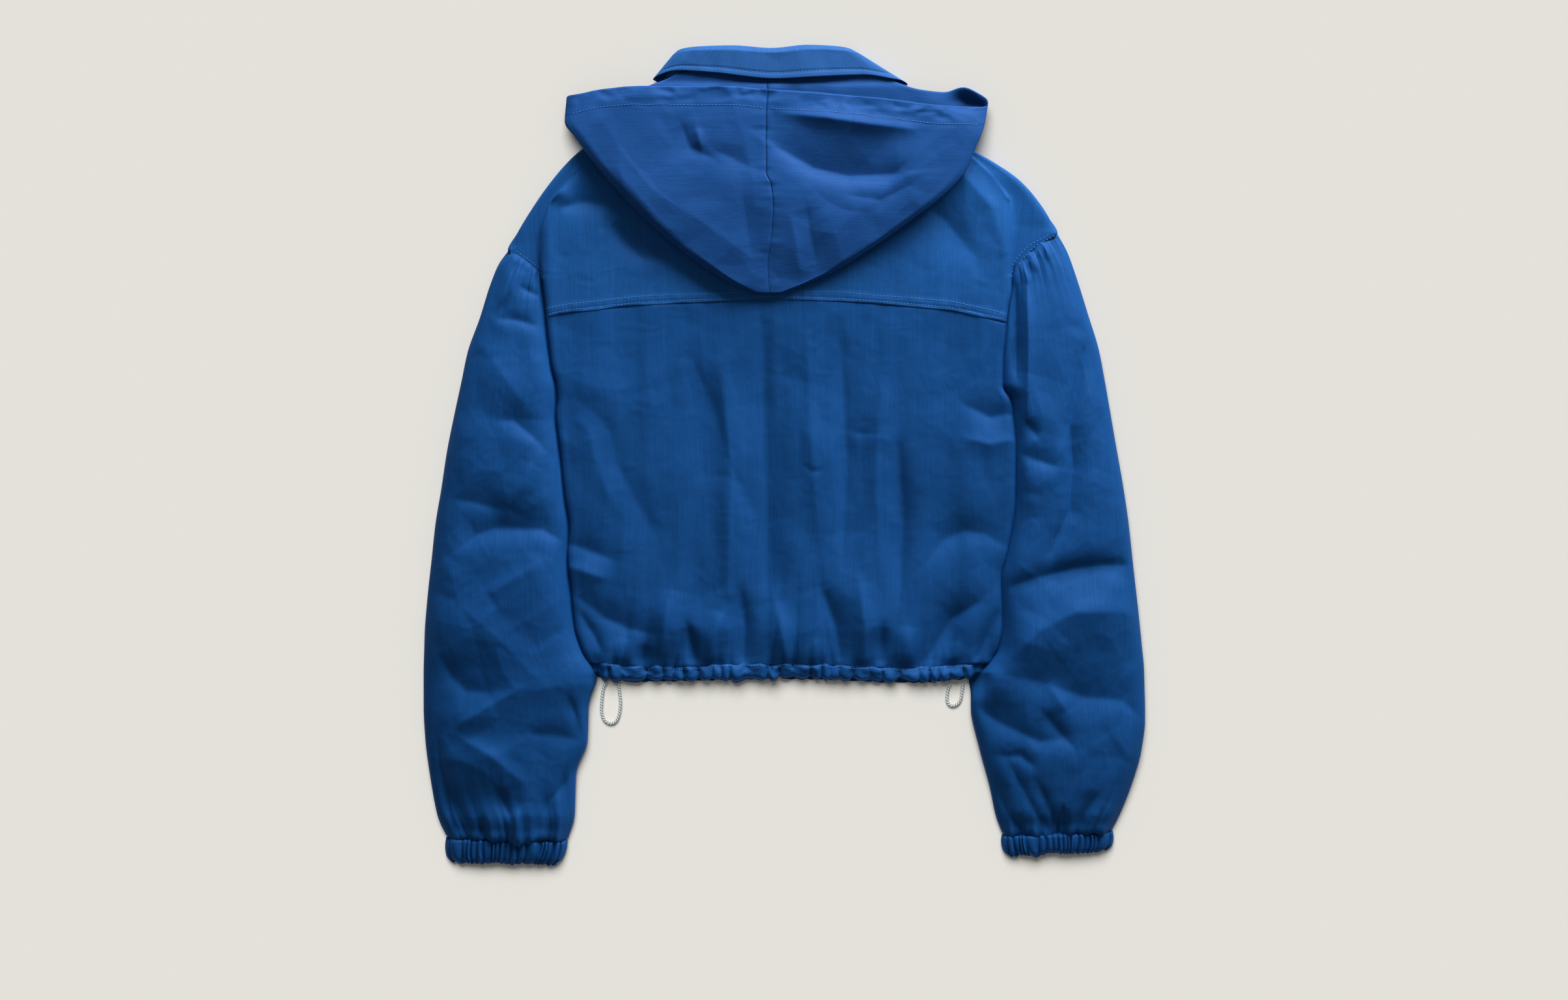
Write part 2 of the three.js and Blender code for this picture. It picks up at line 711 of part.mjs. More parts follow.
// How far the upper layer stands over the lower one, at the centre seam and towards the fold
const HOOD_LOFT = table(
  "v middle edge",
  [0, 5, 6],
  [0.15, 7, 7],
  [0.4, 9.5, 8],
  [0.7, 7, 6.5],
  [1, 2.5, 2.5],
);
const HOOD_FOLDS = table(
  FOLD_COLUMNS,
  [-146, 297, -105, 234, 10, -3.5],
  [-105, 234, -60, 187, 9, -3],
  [-86, 284, -79, 262, 6, -2.2],
  [-76, 286, -70, 262, 6, 1.8],
  [-44, 268, -18, 260, 7, -2.2],
  [2, 295, 74, 285, 9, 2.4],
  [48, 272, 108, 252, 9, -3.5],
  [20, 212, 30, 160, 6, -3],
  [12, 214, 20, 160, 6, 2.4],
  [-130, 268, -92, 216, 9, 2.2],
  [110, 232, 60, 196, 10, 1.8],
  [-40, 230, -34, 176, 10, 1.8],
);
const hoodRelief = relief(HOOD_FOLDS);
const HOOD_TOP = [0, 0.1, 0.2, 0.3, 0.4, 0.5, 0.6, 0.7, 0.79, 0.87, 0.94, 0.985];
const HOOD_UNDER = [0.985, 0.92, 0.75, 0.5, 0.25, 0];
const HOOD_ROWS = 13;

const SHOULDER_DROP = 5.5; // how far the lower layer sinks beyond the shoulder

// What the hood rests on: the yoke, and beyond the shoulder a slope down towards the surface
function underHood(x, y) {
  const side = x < 0 ? -1 : 1;
  const shoulder = side < 0 ? [-107, 324, -188, 260] : [101, 320, 186, 256];
  const [x1, y1, x2, y2] = shoulder;
  const length = Math.hypot(x2 - x1, y2 - y1);
  const out = (((x - x1) * (y2 - y1) - (y - y1) * (x2 - x1)) * side * -1) / length;
  const highest = read(BODY_HEIGHT, "y", "middle", y) + Math.max(0, bodyRelief(x, y)) + 0.6;
  const sides = smooth((Math.abs(x - ZIP_X) - LEVEL_HALF) / LEVEL_FADE);
  const edge = sides * smooth((262 - y) / 60) * 1.2;
  return highest + edge - SHOULDER_DROP * smooth((out - 4) / 34);
}

function hood(side) {
  const edges = side < 0 ? HOOD_EDGE.left : HOOD_EDGE.right;
  const topCount = HOOD_TOP.length;
  return wall(
    (i, j) => {
      const v = j / (HOOD_ROWS - 1);
      const [edgeX, edgeY] = [read(edges, "v", "x", v), read(edges, "v", "y", v)];
      const centreY = mix(319, 141, v ** 0.92);
      const centreX = read(HOOD_SEAM, "y", "x", centreY) + side * 0.2;
      const atFold = i === topCount;
      const over = i < topCount;
      const t = atFold ? 1 : over ? HOOD_TOP[i] : HOOD_UNDER[i - topCount - 1];
      const x = mix(centreX, edgeX, t);
      const line = mix(centreY, edgeY, t);
      const straight = mix(319, edges[0].y, t);
      const rim = read(over || atFold ? HOOD_MOUTH : HOOD_BASE, "x", "y", x);
      const y = line + (rim - straight) * (1 - v) ** 4;
      const base = underHood(x, y) + LAYER_GAP;
      const loft = mix(read(HOOD_LOFT, "v", "middle", v), read(HOOD_LOFT, "v", "edge", v), t) + 2 * WALL;
      if (atFold) return [x, y, base + 0.42 * loft];
      const turn = t > 0.95 ? 0.14 : t > 0.9 ? 0.05 : 0;
      if (!over) return [x, y, base + loft * turn];
      const dome = t > 0.95 ? 0.8 : t > 0.9 ? 0.93 : 1;
      const lift = hoodRelief(x, y) * smooth((1 - t) / 0.2) * smooth(v / 0.12) * smooth((1 - v) / 0.2);
      return [x, y, base + loft * dome + Math.max(lift, 0.4 - loft + 2 * WALL)];
    },
    topCount + 1 + HOOD_UNDER.length,
    HOOD_ROWS,
    { turned: side > 0 },
  );
}

// Collar: a band folded over itself. Each row is a place round the neck, from centre front under the
// garment, round the left fold, over the back, to centre front again: the neck edge, the roll line
// and the lower edge of the outer leaf, the height of its inner face, the direction its outside
// faces, in degrees about Y from +X, and the slot between the leaf and the stand.
const COLLAR = table(
  "neckX neckY rollX rollY leafX leafY z faces slot",
  [-5.5, 257, -5.5, 289, -5.5, 265, 2.8, 270, 0.4],
  [-40, 263, -38, 297, -42, 271, 2.8, 270, 0.4],
  [-70, 277, -62, 315, -74, 287, 2.8, 266, 0.4],
  [-92, 297, -80, 337, -98, 307, 3, 258, 0.5],
  [-100, 316, -90, 348.5, -110, 327.5, 3.05, 240, 0.6],
  [-105, 327.5, -93.5, 352, -112, 329.5, 5.4, 180, 0.8],
  [-102, 331, -90, 354, -108, 332.5, 7.2, 130, 1.4],
  [-92, 332.5, -78, 356, -93, 336.5, 7.8, 92, 2.4],
  [-60, 335.8, -48, 357, -62, 334.5, 7.8, 90, 2.8],
  [-5, 336.6, -12, 354.5, -10, 329, 7.8, 90, 4.2],
  [35, 335.8, 22, 357.5, 34, 331, 7.8, 90, 4],
  [70, 333, 48, 356.5, 70, 332.5, 7.8, 90, 2.8],
  [88, 328, 56, 355.5, 92, 329.5, 7.4, 88, 2.2],
  [95, 327, 61.5, 353, 102, 327.5, 6.8, 50, 1.2],
  [97, 323.5, 62.5, 350, 105, 324.5, 5, 0, 0.8],
  [92, 310, 60, 343, 102.5, 321.5, 2.95, 302, 0.6],
  [82, 292, 56, 330, 88, 299, 3, 280, 0.5],
  [58, 273, 44, 312, 62, 283, 2.8, 272, 0.4],
  [30, 262, 26, 297, 31, 271, 2.8, 270, 0.4],
  [-2.5, 257, -2.5, 289, -2.5, 265, 2.8, 270, 0.4],
);
const COLLAR_STATIONS = 39;
// Points of the folded band: how far from the neck (0) over the roll (1) to the leaf's edge (2), and
// which layer's face: distances out are in walls and slots.
const COLLAR_PROFILE = table(
  "way walls slots roll",
  [0, 0, 0, 0],
  [0.5, 0, 0, 0],
  [0.93, 0, 0, 0],
  [1, 1, 0.5, 1],
  [1.1, 2, 1, 0],
  [1.5, 2, 1, 0],
  [2, 2, 1, 0],
  [2, 1, 1, 0],
  [1.5, 1, 1, 0],
  [1.18, 1, 1, 0],
  [0.8, 1, 0, 0],
  [0.4, 1, 0, 0],
  [0, 1, 0, 0],
);

function collar() {
  const indexed = COLLAR.map((r, index) => ({ ...r, index }));
  const rings = [];
  for (let j = 0; j < COLLAR_STATIONS; j++) {
    const station = (j / (COLLAR_STATIONS - 1)) * (COLLAR.length - 1);
    const at = (column) => read(indexed, "index", column, station);
    const neck = new THREE.Vector3(at("neckX"), at("neckY"), at("z"));
    const roll = new THREE.Vector3(at("rollX"), at("rollY"), at("z"));
    const leaf = new THREE.Vector3(at("leafX"), at("leafY"), at("z"));
    const turn = radians(at("faces"));
    const outward = new THREE.Vector3(Math.cos(turn), 0, Math.sin(turn));
    const up = roll.clone().sub(neck).normalize();
    for (const p of COLLAR_PROFILE) {
      const place = p.way <= 1 ? neck.clone().lerp(roll, p.way) : roll.clone().lerp(leaf, p.way - 1);
      place.addScaledVector(outward, p.walls * WALL + p.slots * at("slot"));
      place.addScaledVector(up, p.roll * 2);
      rings.push(place);
    }
  }
  return tubeOf(rings, COLLAR_PROFILE.length, COLLAR_STATIONS, true);
}

// A solid from closed rings of points, its two end rings capped. flip turns its faces round.
function tubeOf(points, around, rings, flip = false) {
  const faces = [];
  const tri = (a, b, c) => faces.push(...(flip ? [a, c, b] : [a, b, c]));
  for (let j = 0; j < rings - 1; j++) {
    for (let i = 0; i < around; i++) {
      const [a, b] = [j * around + i, j * around + ((i + 1) % around)];
      tri(a, a + around, b);
      tri(b, a + around, b + around);
    }
  }
  for (const end of [0, rings - 1]) {
    const ring = points.slice(end * around, (end + 1) * around);
    const across = ring[0].clone().sub(ring[Math.floor(around / 2)]).normalize();
    const other = ring[Math.floor(around / 4)].clone().sub(ring[0]);
    other.addScaledVector(across, -other.dot(across)).normalize();
    const flat = ring.map((p) => new THREE.Vector2(p.dot(across), p.dot(other)));
    const area = THREE.ShapeUtils.area(flat);
    const triangles = THREE.ShapeUtils.triangulateShape(area > 0 ? flat : [...flat].reverse(), []);
    const index = (k) => end * around + (area > 0 ? k : around - 1 - k);
    for (const [a, b, c] of triangles) {
      const forward = area > 0 === (end === 0);
      if (forward) tri(index(a), index(b), index(c));
      else tri(index(a), index(c), index(b));
    }
  }
  return solid(points, faces);
}

// Elastic cord loops: out of the hem and back, lying on the surface
const CORD_ROUTE = {
  left: table(
    "x y",
    [-155, -198],
    [-159, -205],
    [-160.5, -217],
    [-160.5, -226],
    [-158, -233],
    [-153, -236],
    [-148, -234],
    [-145, -227],
    [-144, -217],
    [-145, -207],
    [-146, -198],
  ),
  right: table(
    "x y",
    [146, -200.6],
    [144, -205.5],
    [143, -211],
    [143, -216],
    [145, -219.5],
    [148.5, -220.5],
    [152.5, -218.5],
    [155, -214],
    [156, -208],
    [157, -200.8],
  ),
};
function cord(rows) {
  const radius = CORD_DIAMETER / 2;
  const path = new THREE.CatmullRomCurve3(rows.map((r) => new THREE.Vector3(r.x, r.y, radius + 0.05)));
  const steps = 22;
  const points = [];
  for (let j = 0; j <= steps; j++) {
    const [at, ahead] = [path.getPointAt(j / steps), path.getTangentAt(j / steps)];
    const sideways = new THREE.Vector3(-ahead.y, ahead.x, 0).normalize();
    for (let i = 0; i < CORD_SIDES; i++) {
      const a = (2 * Math.PI * (i + 0.5)) / CORD_SIDES;
      const p = at.clone().addScaledVector(sideways, radius * Math.cos(a));
      points.push(p.setZ(at.z + radius * Math.sin(a)));
    }
  }
  return tubeOf(points, CORD_SIDES, steps + 1, true);
}

// Finishes
const cloth = (name, color) => new THREE.MeshStandardMaterial({ name, color, roughness: 0.72, metalness: 0 });
const SHELL = cloth("shell", 0x1b4d86);
const SHELL_LIGHT = cloth("shell_light", 0x2a66a8);
const BRAID = cloth("braid", 0xb9c4c6);
const TEETH = cloth("teeth", 0x1c3f6e);

const windbreaker = new THREE.Group();
function add(name, geometry, material) {
  const mesh = new THREE.Mesh(geometry, material);
  mesh.name = name;
  windbreaker.add(mesh);
}
add("back_yoke", backYoke(), SHELL);
add("back_lower", backLower(), SHELL);
add("front_left", plate(frontOutline(-1), WALL), SHELL);
add("front_right", plate(frontOutline(1), WALL), SHELL);
add("hem_casing", hemCasing(), SHELL);
add("zip", zip(), TEETH);
add("sleeve_left", sleeve(LEFT_SLEEVE, SLEEVE_FOLDS.left), SHELL);
add("sleeve_right", sleeve(RIGHT_SLEEVE, SLEEVE_FOLDS.right), SHELL);
for (const row of CUFFS) add("cuff_" + row.name, cuff(row), SHELL);
add("hood_left", hood(-1), SHELL_LIGHT);
add("hood_right", hood(1), SHELL_LIGHT);
add("collar", collar(), SHELL_LIGHT);
add("cord_left", cord(CORD_ROUTE.left), BRAID);
add("cord_right", cord(CORD_ROUTE.right), BRAID);

export default windbreaker;
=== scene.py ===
"""A cropped windbreaker with a hood, laid flat on its front, its hood spread over its back.

Lengths in the tables are millimetres in the frame of the CAD model: +Y runs from the hem to the
collar, +X to the right and +Z up from the surface. A piece of cloth is a grid of points on its
outer face and the same grid moved in by the cloth's thickness. Only the collar and the cords are
rings of points along a line instead.
"""
import logging
import math
from dataclasses import dataclass
from enum import Enum

import bpy
import numpy as np
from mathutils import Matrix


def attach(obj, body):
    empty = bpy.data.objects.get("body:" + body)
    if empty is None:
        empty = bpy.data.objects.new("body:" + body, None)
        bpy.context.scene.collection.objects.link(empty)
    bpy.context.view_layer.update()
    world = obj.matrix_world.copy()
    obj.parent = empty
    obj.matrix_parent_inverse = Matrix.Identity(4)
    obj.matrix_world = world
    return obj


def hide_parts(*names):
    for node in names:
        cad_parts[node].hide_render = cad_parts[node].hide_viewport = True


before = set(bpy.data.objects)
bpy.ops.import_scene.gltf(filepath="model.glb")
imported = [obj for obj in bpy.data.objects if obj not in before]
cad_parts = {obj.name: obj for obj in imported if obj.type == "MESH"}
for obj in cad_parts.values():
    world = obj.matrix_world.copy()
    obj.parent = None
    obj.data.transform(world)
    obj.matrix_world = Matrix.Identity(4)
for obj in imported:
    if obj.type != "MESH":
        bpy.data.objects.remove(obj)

LOG = logging.getLogger("windbreaker")
Array = np.ndarray
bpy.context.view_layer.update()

MM = 0.001
CLOTH = 0.8  # doubled cloth as it shows at an edge
FRONT_TOP = 1.2  # upper face of the fronts
BACK_FOOT = FRONT_TOP + 0.35  # lowest part of the back
ROLL = 4.5  # how far in from its edge a fold is round
SEAM_GAP = 0.4
LAYER_GAP = 0.4
HEM_DEPTH = 11.5
ZIP_X = -4.0  # the garment's middle
TURNING = 7.0  # from a lapped seam's edge to its second row of stitches
STITCH_PITCH = 3.0
STITCH_INSET = 1.6  # from an edge to its first row of stitches
TRIANGLE_SKEW = 0.366  # (sqrt(3) - 1) / 2, which gives a facet's triangles equal sides
HEM_LEFT, HEM_RIGHT = -169.5, 175.5
HEM_FROM, HEM_SPAN = -172.0, 346.0  # from where, and over what length, hem gathers are counted
WAVE_PERIOD = 0.314  # of Blender's wave texture at scale 1


class Side(Enum):
    """Which half of the garment a piece belongs to."""

    LEFT = -1
    RIGHT = 1

    @property
    def word(self) -> str:
        """The side's name in a piece's name."""
        return self.name.lower()


class Grain(Enum):
    """Which way the slubs of the yarn run in a piece's own UV map."""

    ALONG = "along"
    ACROSS = "across"


# Working with tables and shapes


@dataclass(frozen=True)
class Table:
    """Rows of numbers with named columns."""

    columns: str
    rows: tuple

    def column(self, name: str) -> Array:
        """One column as an array."""
        at = self.columns.split().index(name)
        return np.array([row[at] for row in self.rows], float)

    def read(self, key: str, name: str, at: Array) -> Array:
        """Column name where column key, which only rises or only falls, has the value at.

        A cubic between each two rows. Its slope at a row is the harmonic mean of the slopes of
        the lines to the rows beside it, and nothing where they differ in sign, so it never
        overshoots.

        Args:
            key: the column that is looked up.
            name: the column that is returned.
            at: the values to look up.

        Returns:
            The values, in the shape of at.
        """
        knots = np.arange(len(self.rows), dtype=float) if key == "index" else self.column(key)
        values = self.column(name)
        if knots[0] > knots[-1]:
            knots, values = knots[::-1], values[::-1]
        at = np.clip(np.asarray(at, float), knots[0], knots[-1])
        i = np.clip(np.searchsorted(knots, at, side="left") - 1, 0, len(knots) - 2)
        steps = np.diff(knots)
        secants = np.diff(values) / steps
        before = np.r_[secants[0], secants]
        after = np.r_[secants, secants[-1]]
        together = before + after
        mean = 2 * before * after / np.where(together == 0, 1, together)
        slope = np.where(before * after <= 0, 0.0, mean)
        h = steps[i]
        t = (at - knots[i]) / h
        rise = t * t * (3 - 2 * t)
        lead = t * (1 - t) ** 2 * h * slope[i]
        tail = t * t * (1 - t) * h * slope[i + 1]
        return mix(values[i], values[i + 1], rise) + lead - tail

    def at_rows(self, at: Array) -> dict[str, Array]:
        """Every column at places that are counted in rows."""
        return {name: self.read("index", name, at) for name in self.columns.split()}


def mix(a: Array, b: Array, t: Array) -> Array:
    """The value t of the way from a to b."""
    return a + (b - a) * t


def smooth(t: Array) -> Array:
    """An S-shaped rise from 0 to 1 while t goes from 0 to 1."""
    t = np.clip(t, 0.0, 1.0)
    return t * t * (3 - 2 * t)


def bell(t: Array) -> Array:
    """1 where t is 0, falling to nothing by about 2 on both sides."""
    return np.exp(-(t**2))


def points_of(x: Array | float, y: Array | float, z: Array | float) -> Array:
    """Points from coordinates that are spread to one shape."""
    return np.stack(np.broadcast_arrays(x, y, z), axis=-1)


def curve_through(before: Array, start: Array, end: Array, after: Array, t: Array) -> Array:
    """The Catmull-Rom curve t of the way from start to end, given the points on either side."""
    return 0.5 * (
        2 * start + (end - before) * t + (2 * before - 5 * start + 4 * end - after) * t**2
        + (3 * start - before - 3 * end + after) * t**3
    )


def run_of(line: Array) -> Array:
    """How far along a line each of its points lies."""
    return np.r_[0, np.cumsum(np.linalg.norm(np.diff(line, axis=0), axis=1))]


def hem_share(x: Array) -> Array:
    """Place along the hem, about 0 at its left end and 1 at its right."""
    return (x - HEM_FROM) / HEM_SPAN


def sideways(x: Array) -> Array:
    """0 over the middle of the body, rising to 1 at its sides."""
    return smooth((np.abs(x - ZIP_X) - 90) / 110)


def lattice(ix: Array, iy: Array, seed: float) -> Array:
    """A scattered number from 0 to 1 at each whole-number place: the fraction of a large sine."""
    s = np.sin(ix * 127.1 + iy * 311.7 + seed * 74.7) * 43758.5453
    return s - np.floor(s)


def soft_noise(x: Array, y: Array | float, seed: float) -> Array:
    """Smooth noise from -1 to 1 with one bump to each unit of x and y.

    The four lattice numbers round a point, mixed with S-shaped weights.

    Args:
        x: first coordinate.
        y: second coordinate.
        seed: which noise.

    Returns:
        The noise, in the shape of x and y together.
    """
    ix, iy = np.floor(x), np.floor(y)
    u, v = smooth(x - ix), smooth(y - iy)
    low = mix(lattice(ix, iy, seed), lattice(ix + 1, iy, seed), u)
    high = mix(lattice(ix, iy + 1, seed), lattice(ix + 1, iy + 1, seed), u)
    return 2 * mix(low, high, v) - 1


def crumple(x: Array, y: Array, size: float, seed: float) -> Array:
    """Soft creases of cloth that has been worn, about -1 to 1.

    Noise whose places are themselves shifted by noise, folded at nothing so that it has ridge
    lines, and a finer noise of half its size on top.

    Args:
        x: first coordinate, mm.
        y: second coordinate, mm.
        size: distance between creases, mm.
        seed: which noise.

    Returns:
        The relief, in the shape of x and y together.
    """
    shift_x = soft_noise(x / size, y / size, seed + 3.1)
    shift_y = soft_noise(x / size, y / size, seed + 5.7)
    px, py = x / size + 0.7 * shift_x, y / size + 0.7 * shift_y
    ridged = 1 - 2 * np.abs(soft_noise(px, py, seed))
    fine = soft_noise(2.1 * px, 2.1 * py, seed + 1.3)
    return 0.7 * ridged + 0.3 * fine


def facets(x: Array, y: Array, size: float, seed: float) -> Array:
    """Flat facets that meet in creases, -1 to 1, as in stiff cloth that has been folded.

    Scattered heights on a lattice of triangles, with straight slopes between them. The lattice
    is bent by soft noise, so its lines curve and its triangles differ.

    Args:
        x: first coordinate, mm.
        y: second coordinate, mm.
        size: side of a triangle, mm.
        seed: which heights.

    Returns:
        The relief, in the shape of x and y together.
    """
    px = x / size + 0.45 * soft_noise(x / size / 1.3, y / size / 1.3, seed + 3.1)
    py = y / size + 0.45 * soft_noise(x / size / 1.3, y / size / 1.3, seed + 5.7)
    skew = (px + py) * TRIANGLE_SKEW
    i, j = np.floor(px + skew), np.floor(py + skew)
    u, v = px + skew - i, py + skew - j
    right = u > v
    corner = np.where(right, lattice(i + 1, j, seed), lattice(i, j + 1, seed))
    high, low = np.maximum(u, v), np.minimum(u, v)
    start, end = lattice(i, j, seed), lattice(i + 1, j + 1, seed)
    return 2 * (start * (1 - high) + corner * (high - low) + end * low) - 1


def gathers(along: Array, count: float, seed: float) -> Array:
    """Rounded gathers with sharp valleys, from -1 to 1, count of them while along goes from 0 to 1.

    The size of a sine whose phase runs unevenly.

    Args:
        along: place along the gathered edge, 0 to 1.
        count: number of gathers.
        seed: which unevenness.

    Returns:
        The relief, in the shape of along.
    """
    drift = count * (0.045 * np.sin(along * 19 + seed) + 0.022 * np.sin(along * 47 + 2 * seed))
    uneven = 0.68 + 0.32 * np.sin(along * 61 + 3 * seed)
    return (2 * np.abs(np.sin(math.pi * count * along + drift)) ** 0.8 - 1) * uneven


def crease(points: tuple, width: float, height: float, lean: float, x: Array, y: Array) -> Array:
    """One ridge (height above 0) or trough (below 0) along a line of points.

    The height times exp(-(distance / width)^1.3), fading and narrowing at both ends. The width
    is less on the left of the line's direction where lean is above 0, and on its right below 0.

    Args:
        points: the line, (x, y) pairs in mm.
        width: half width, mm.
        height: at the middle of the line, mm.
        lean: how unlike the two flanks are, -1 to 1.
        x: where to work it out, mm.
        y: where to work it out, mm.

    Returns:
        The relief in mm, in the shape of x and y.
    """
    line = np.asarray(points, float)
    runs = np.diff(line, axis=0)
    lengths = np.hypot(runs[:, 0], runs[:, 1])
    starts = np.r_[0, np.cumsum(lengths)]
    nearest = np.full(np.shape(x), np.inf)
    along, flank = np.zeros(np.shape(x)), np.zeros(np.shape(x))
    for k, (dx, dy) in enumerate(runs):
        px, py = x - line[k, 0], y - line[k, 1]
        t = np.clip((px * dx + py * dy) / lengths[k] ** 2, 0, 1)
        off = np.hypot(px - t * dx, py - t * dy)
        nearer = off < nearest
        nearest = np.where(nearer, off, nearest)
        along = np.where(nearer, (starts[k] + t * lengths[k]) / starts[-1], along)
        flank = np.where(nearer, np.tanh((dx * py - dy * px) / lengths[k] / (0.12 * width)), flank)
    taper = np.sin(math.pi * (0.06 + 0.88 * along)) ** 0.8
    spread = width * (1 - lean * flank) * (0.55 + 0.45 * taper)
    return height * taper * np.exp(-((nearest / spread) ** 1.3))


@dataclass(frozen=True)
class Creases:
    """Listed creases: each row is (points, width, height, lean)."""

    rows: tuple

    def height(self, x: Array, y: Array) -> Array:
        """The sum of all of them at x and y, mm."""
        total = np.zeros(np.broadcast(x, y).shape)
        for points, width, height, lean in self.rows:
            total = total + crease(points, width, height, lean, x, y)
        return total


# Making meshes


def uv_of(grid: Array, ring: bool) -> Array:
    """A piece's own UV map in metres: arc length along i and along j of its grid.

    Args:
        grid: points in mm, shape (nj, ni, 3).
        ring: whether i closes.

    Returns:
        Shape (nj, ni, 2), or (nj, ni + 1, 2) for a ring, whose last column is the first again.
    """
    closed = np.concatenate([grid, grid[:, :1]], axis=1) if ring else grid
    steps = np.linalg.norm(np.diff(closed, axis=1), axis=2)
    u = np.concatenate([np.zeros((len(grid), 1)), np.cumsum(steps, axis=1)], axis=1)
    u = u - u[:, [u.shape[1] // 2]]
    rows = np.linalg.norm(np.diff(closed, axis=0), axis=2).mean(axis=1)
    v = np.concatenate([[0.0], np.cumsum(rows)])[:, None] * np.ones_like(u)
    return np.stack([u, v], axis=-1) * MM


def make_mesh(name: str, points: Array, faces: Array, uv: Array | None = None) -> bpy.types.Object:
    """An object at the origin from whole arrays.

    Args:
        name: the piece's name.
        points: in mm, shape (n, 3).
        faces: point numbers, shape (m, 3) or (m, 4).
        uv: one pair for each corner of each face, shape (m, corners, 2).

    Returns:
        The object, linked to the scene and smoothly shaded.
    """
    mesh = bpy.data.meshes.new(name)
    corners = faces.shape[1]
    mesh.vertices.add(len(points))
    mesh.vertices.foreach_set("co", (np.asarray(points, np.float64) * MM).ravel())
    mesh.loops.add(faces.size)
    mesh.loops.foreach_set("vertex_index", faces.astype(np.int32).ravel())
    mesh.polygons.add(len(faces))
    mesh.polygons.foreach_set("loop_start", np.arange(0, faces.size, corners, dtype=np.int32))
    if uv is not None:
        layer = mesh.uv_layers.new(name="cloth")
        layer.data.foreach_set("uv", np.asarray(uv, np.float32).ravel())
    mesh.update(calc_edges=True)
    mesh.validate()
    mesh.shade_smooth()
    piece = bpy.data.objects.new(name, mesh)
    bpy.context.scene.collection.objects.link(piece)
    LOG.info("%s: %d points, %d faces", name, len(points), len(faces))
    return piece


def normals_of(grid: Array, ring: bool, turned: bool) -> Array:
    """Unit normals of a grid: the cross product of the steps along i and along j.

    Args:
        grid: points, shape (nj, ni, 3).
        ring: whether i closes.
        turned: whether the outer face looks the other way.

    Returns:
        Shape (nj, ni, 3).
    """
    nj, ni = grid.shape[:2]
    if ring:
        ahead, behind = np.roll(grid, -1, axis=1), np.roll(grid, 1, axis=1)
    else:
        ahead, behind = grid[:, np.r_[1:ni, ni - 1]], grid[:, np.r_[0, 0 : ni - 1]]
    above, below = grid[np.r_[1:nj, nj - 1]], grid[np.r_[0, 0 : nj - 1]]
    normal = np.cross(ahead - behind, above - below) * (-1 if turned else 1)
    return normal / np.maximum(np.linalg.norm(normal, axis=2, keepdims=True), 1e-9)


def skin(ids: Array, uv: Array) -> tuple[Array, Array]:
    """Quads over a grid of point numbers, and the UV pair at each of their corners.

    Args:
        ids: point numbers, shape (nj, ni).
        uv: UV pairs as uv_of gives them, with one more column where i closes.

    Returns:
        Faces, shape (m, 4), and UV pairs, shape (m, 4, 2).
    """
    cells = uv.shape[1] - 1
    here, ahead = ids[:, :cells], np.roll(ids, -1, axis=1)[:, :cells]
    faces = np.stack([here[:-1], ahead[:-1], ahead[1:], here[1:]], -1)
    maps = np.stack([uv[:-1, :-1], uv[:-1, 1:], uv[1:, 1:], uv[1:, :-1]], 2)
    return faces.reshape(-1, 4), maps.reshape(-1, 4, 2)


def cloth_wall(
    name: str,
    grid: Array,
    thickness: float = CLOTH,
    ring: bool = False,
    turned: bool = False,
    floor: float = -1e9,
) -> bpy.types.Object:
    """A closed wall of cloth between a grid and the same grid moved in along its normals.

    Args:
        name: the piece's name.
        grid: the outer face in mm, shape (nj, ni, 3).
        thickness: how far it is moved in, mm.
        ring: whether i closes.
        turned: whether the outer face looks against (step along i) x (step along j).
        floor: no inner point goes below this height, mm.

    Returns:
        The object.
    """
    nj, ni = grid.shape[:2]
    inner = grid - normals_of(grid, ring, turned) * thickness
    inner[..., 2] = np.maximum(inner[..., 2], floor)
    ids = np.arange(nj * ni).reshape(nj, ni)
    uv = uv_of(grid, ring)
    faces, maps = skin(ids, uv)
    other_way = [0, 3, 2, 1]
    quads, corners = [faces, faces[:, other_way] + nj * ni], [maps, maps[:, other_way]]
    edges = [(ids[0], uv[0], True), (ids[-1], uv[-1], False)]
    if not ring:
        edges += [(ids[:, 0], uv[:, 0], False), (ids[:, -1], uv[:, -1], True)]
    for edge, at, flip in edges:
        p, q = edge[: len(at) - 1], np.roll(edge, -1)[: len(at) - 1]
        rim = np.stack([p, q, q + nj * ni, p + nj * ni], -1)
        rim_at = np.stack([at[:-1], at[1:], at[1:], at[:-1]], 1)
        quads.append(rim[:, other_way] if flip else rim)
        corners.append(rim_at[:, other_way] if flip else rim_at)
    faces, maps = np.concatenate(quads), np.concatenate(corners)
    if turned:
        faces, maps = faces[:, ::-1], maps[:, ::-1]
    points = np.concatenate([grid.reshape(-1, 3), inner.reshape(-1, 3)])
    return make_mesh(name, points, faces, maps)


def tube(name: str, grid: Array, uv: Array) -> bpy.types.Object:
    """A solid band or cord from rings of points, its two ends closed by quads straight across.

    Args:
        name: the piece's name.
        grid: points in mm, shape (nj, ni, 3), where i closes and ni is even.
        uv: UV pairs as uv_of gives them.

    Returns:
        The object.
    """
    nj, ni = grid.shape[:2]
    ids = np.arange(nj * ni).reshape(nj, ni)
    faces, maps = skin(ids, uv)
    near, far = ids[:, : ni // 2], ids[:, ::-1][:, : ni // 2]
    caps = np.stack([near[:, :-1], near[:, 1:], far[:, 1:], far[:, :-1]], -1)
    ends = np.concatenate([caps[0, :, ::-1], caps[-1]])
    faces = np.concatenate([faces, ends])
    maps = np.concatenate([maps, np.zeros((len(ends), 4, 2))])
    return make_mesh(name, grid.reshape(-1, 3), faces, maps)


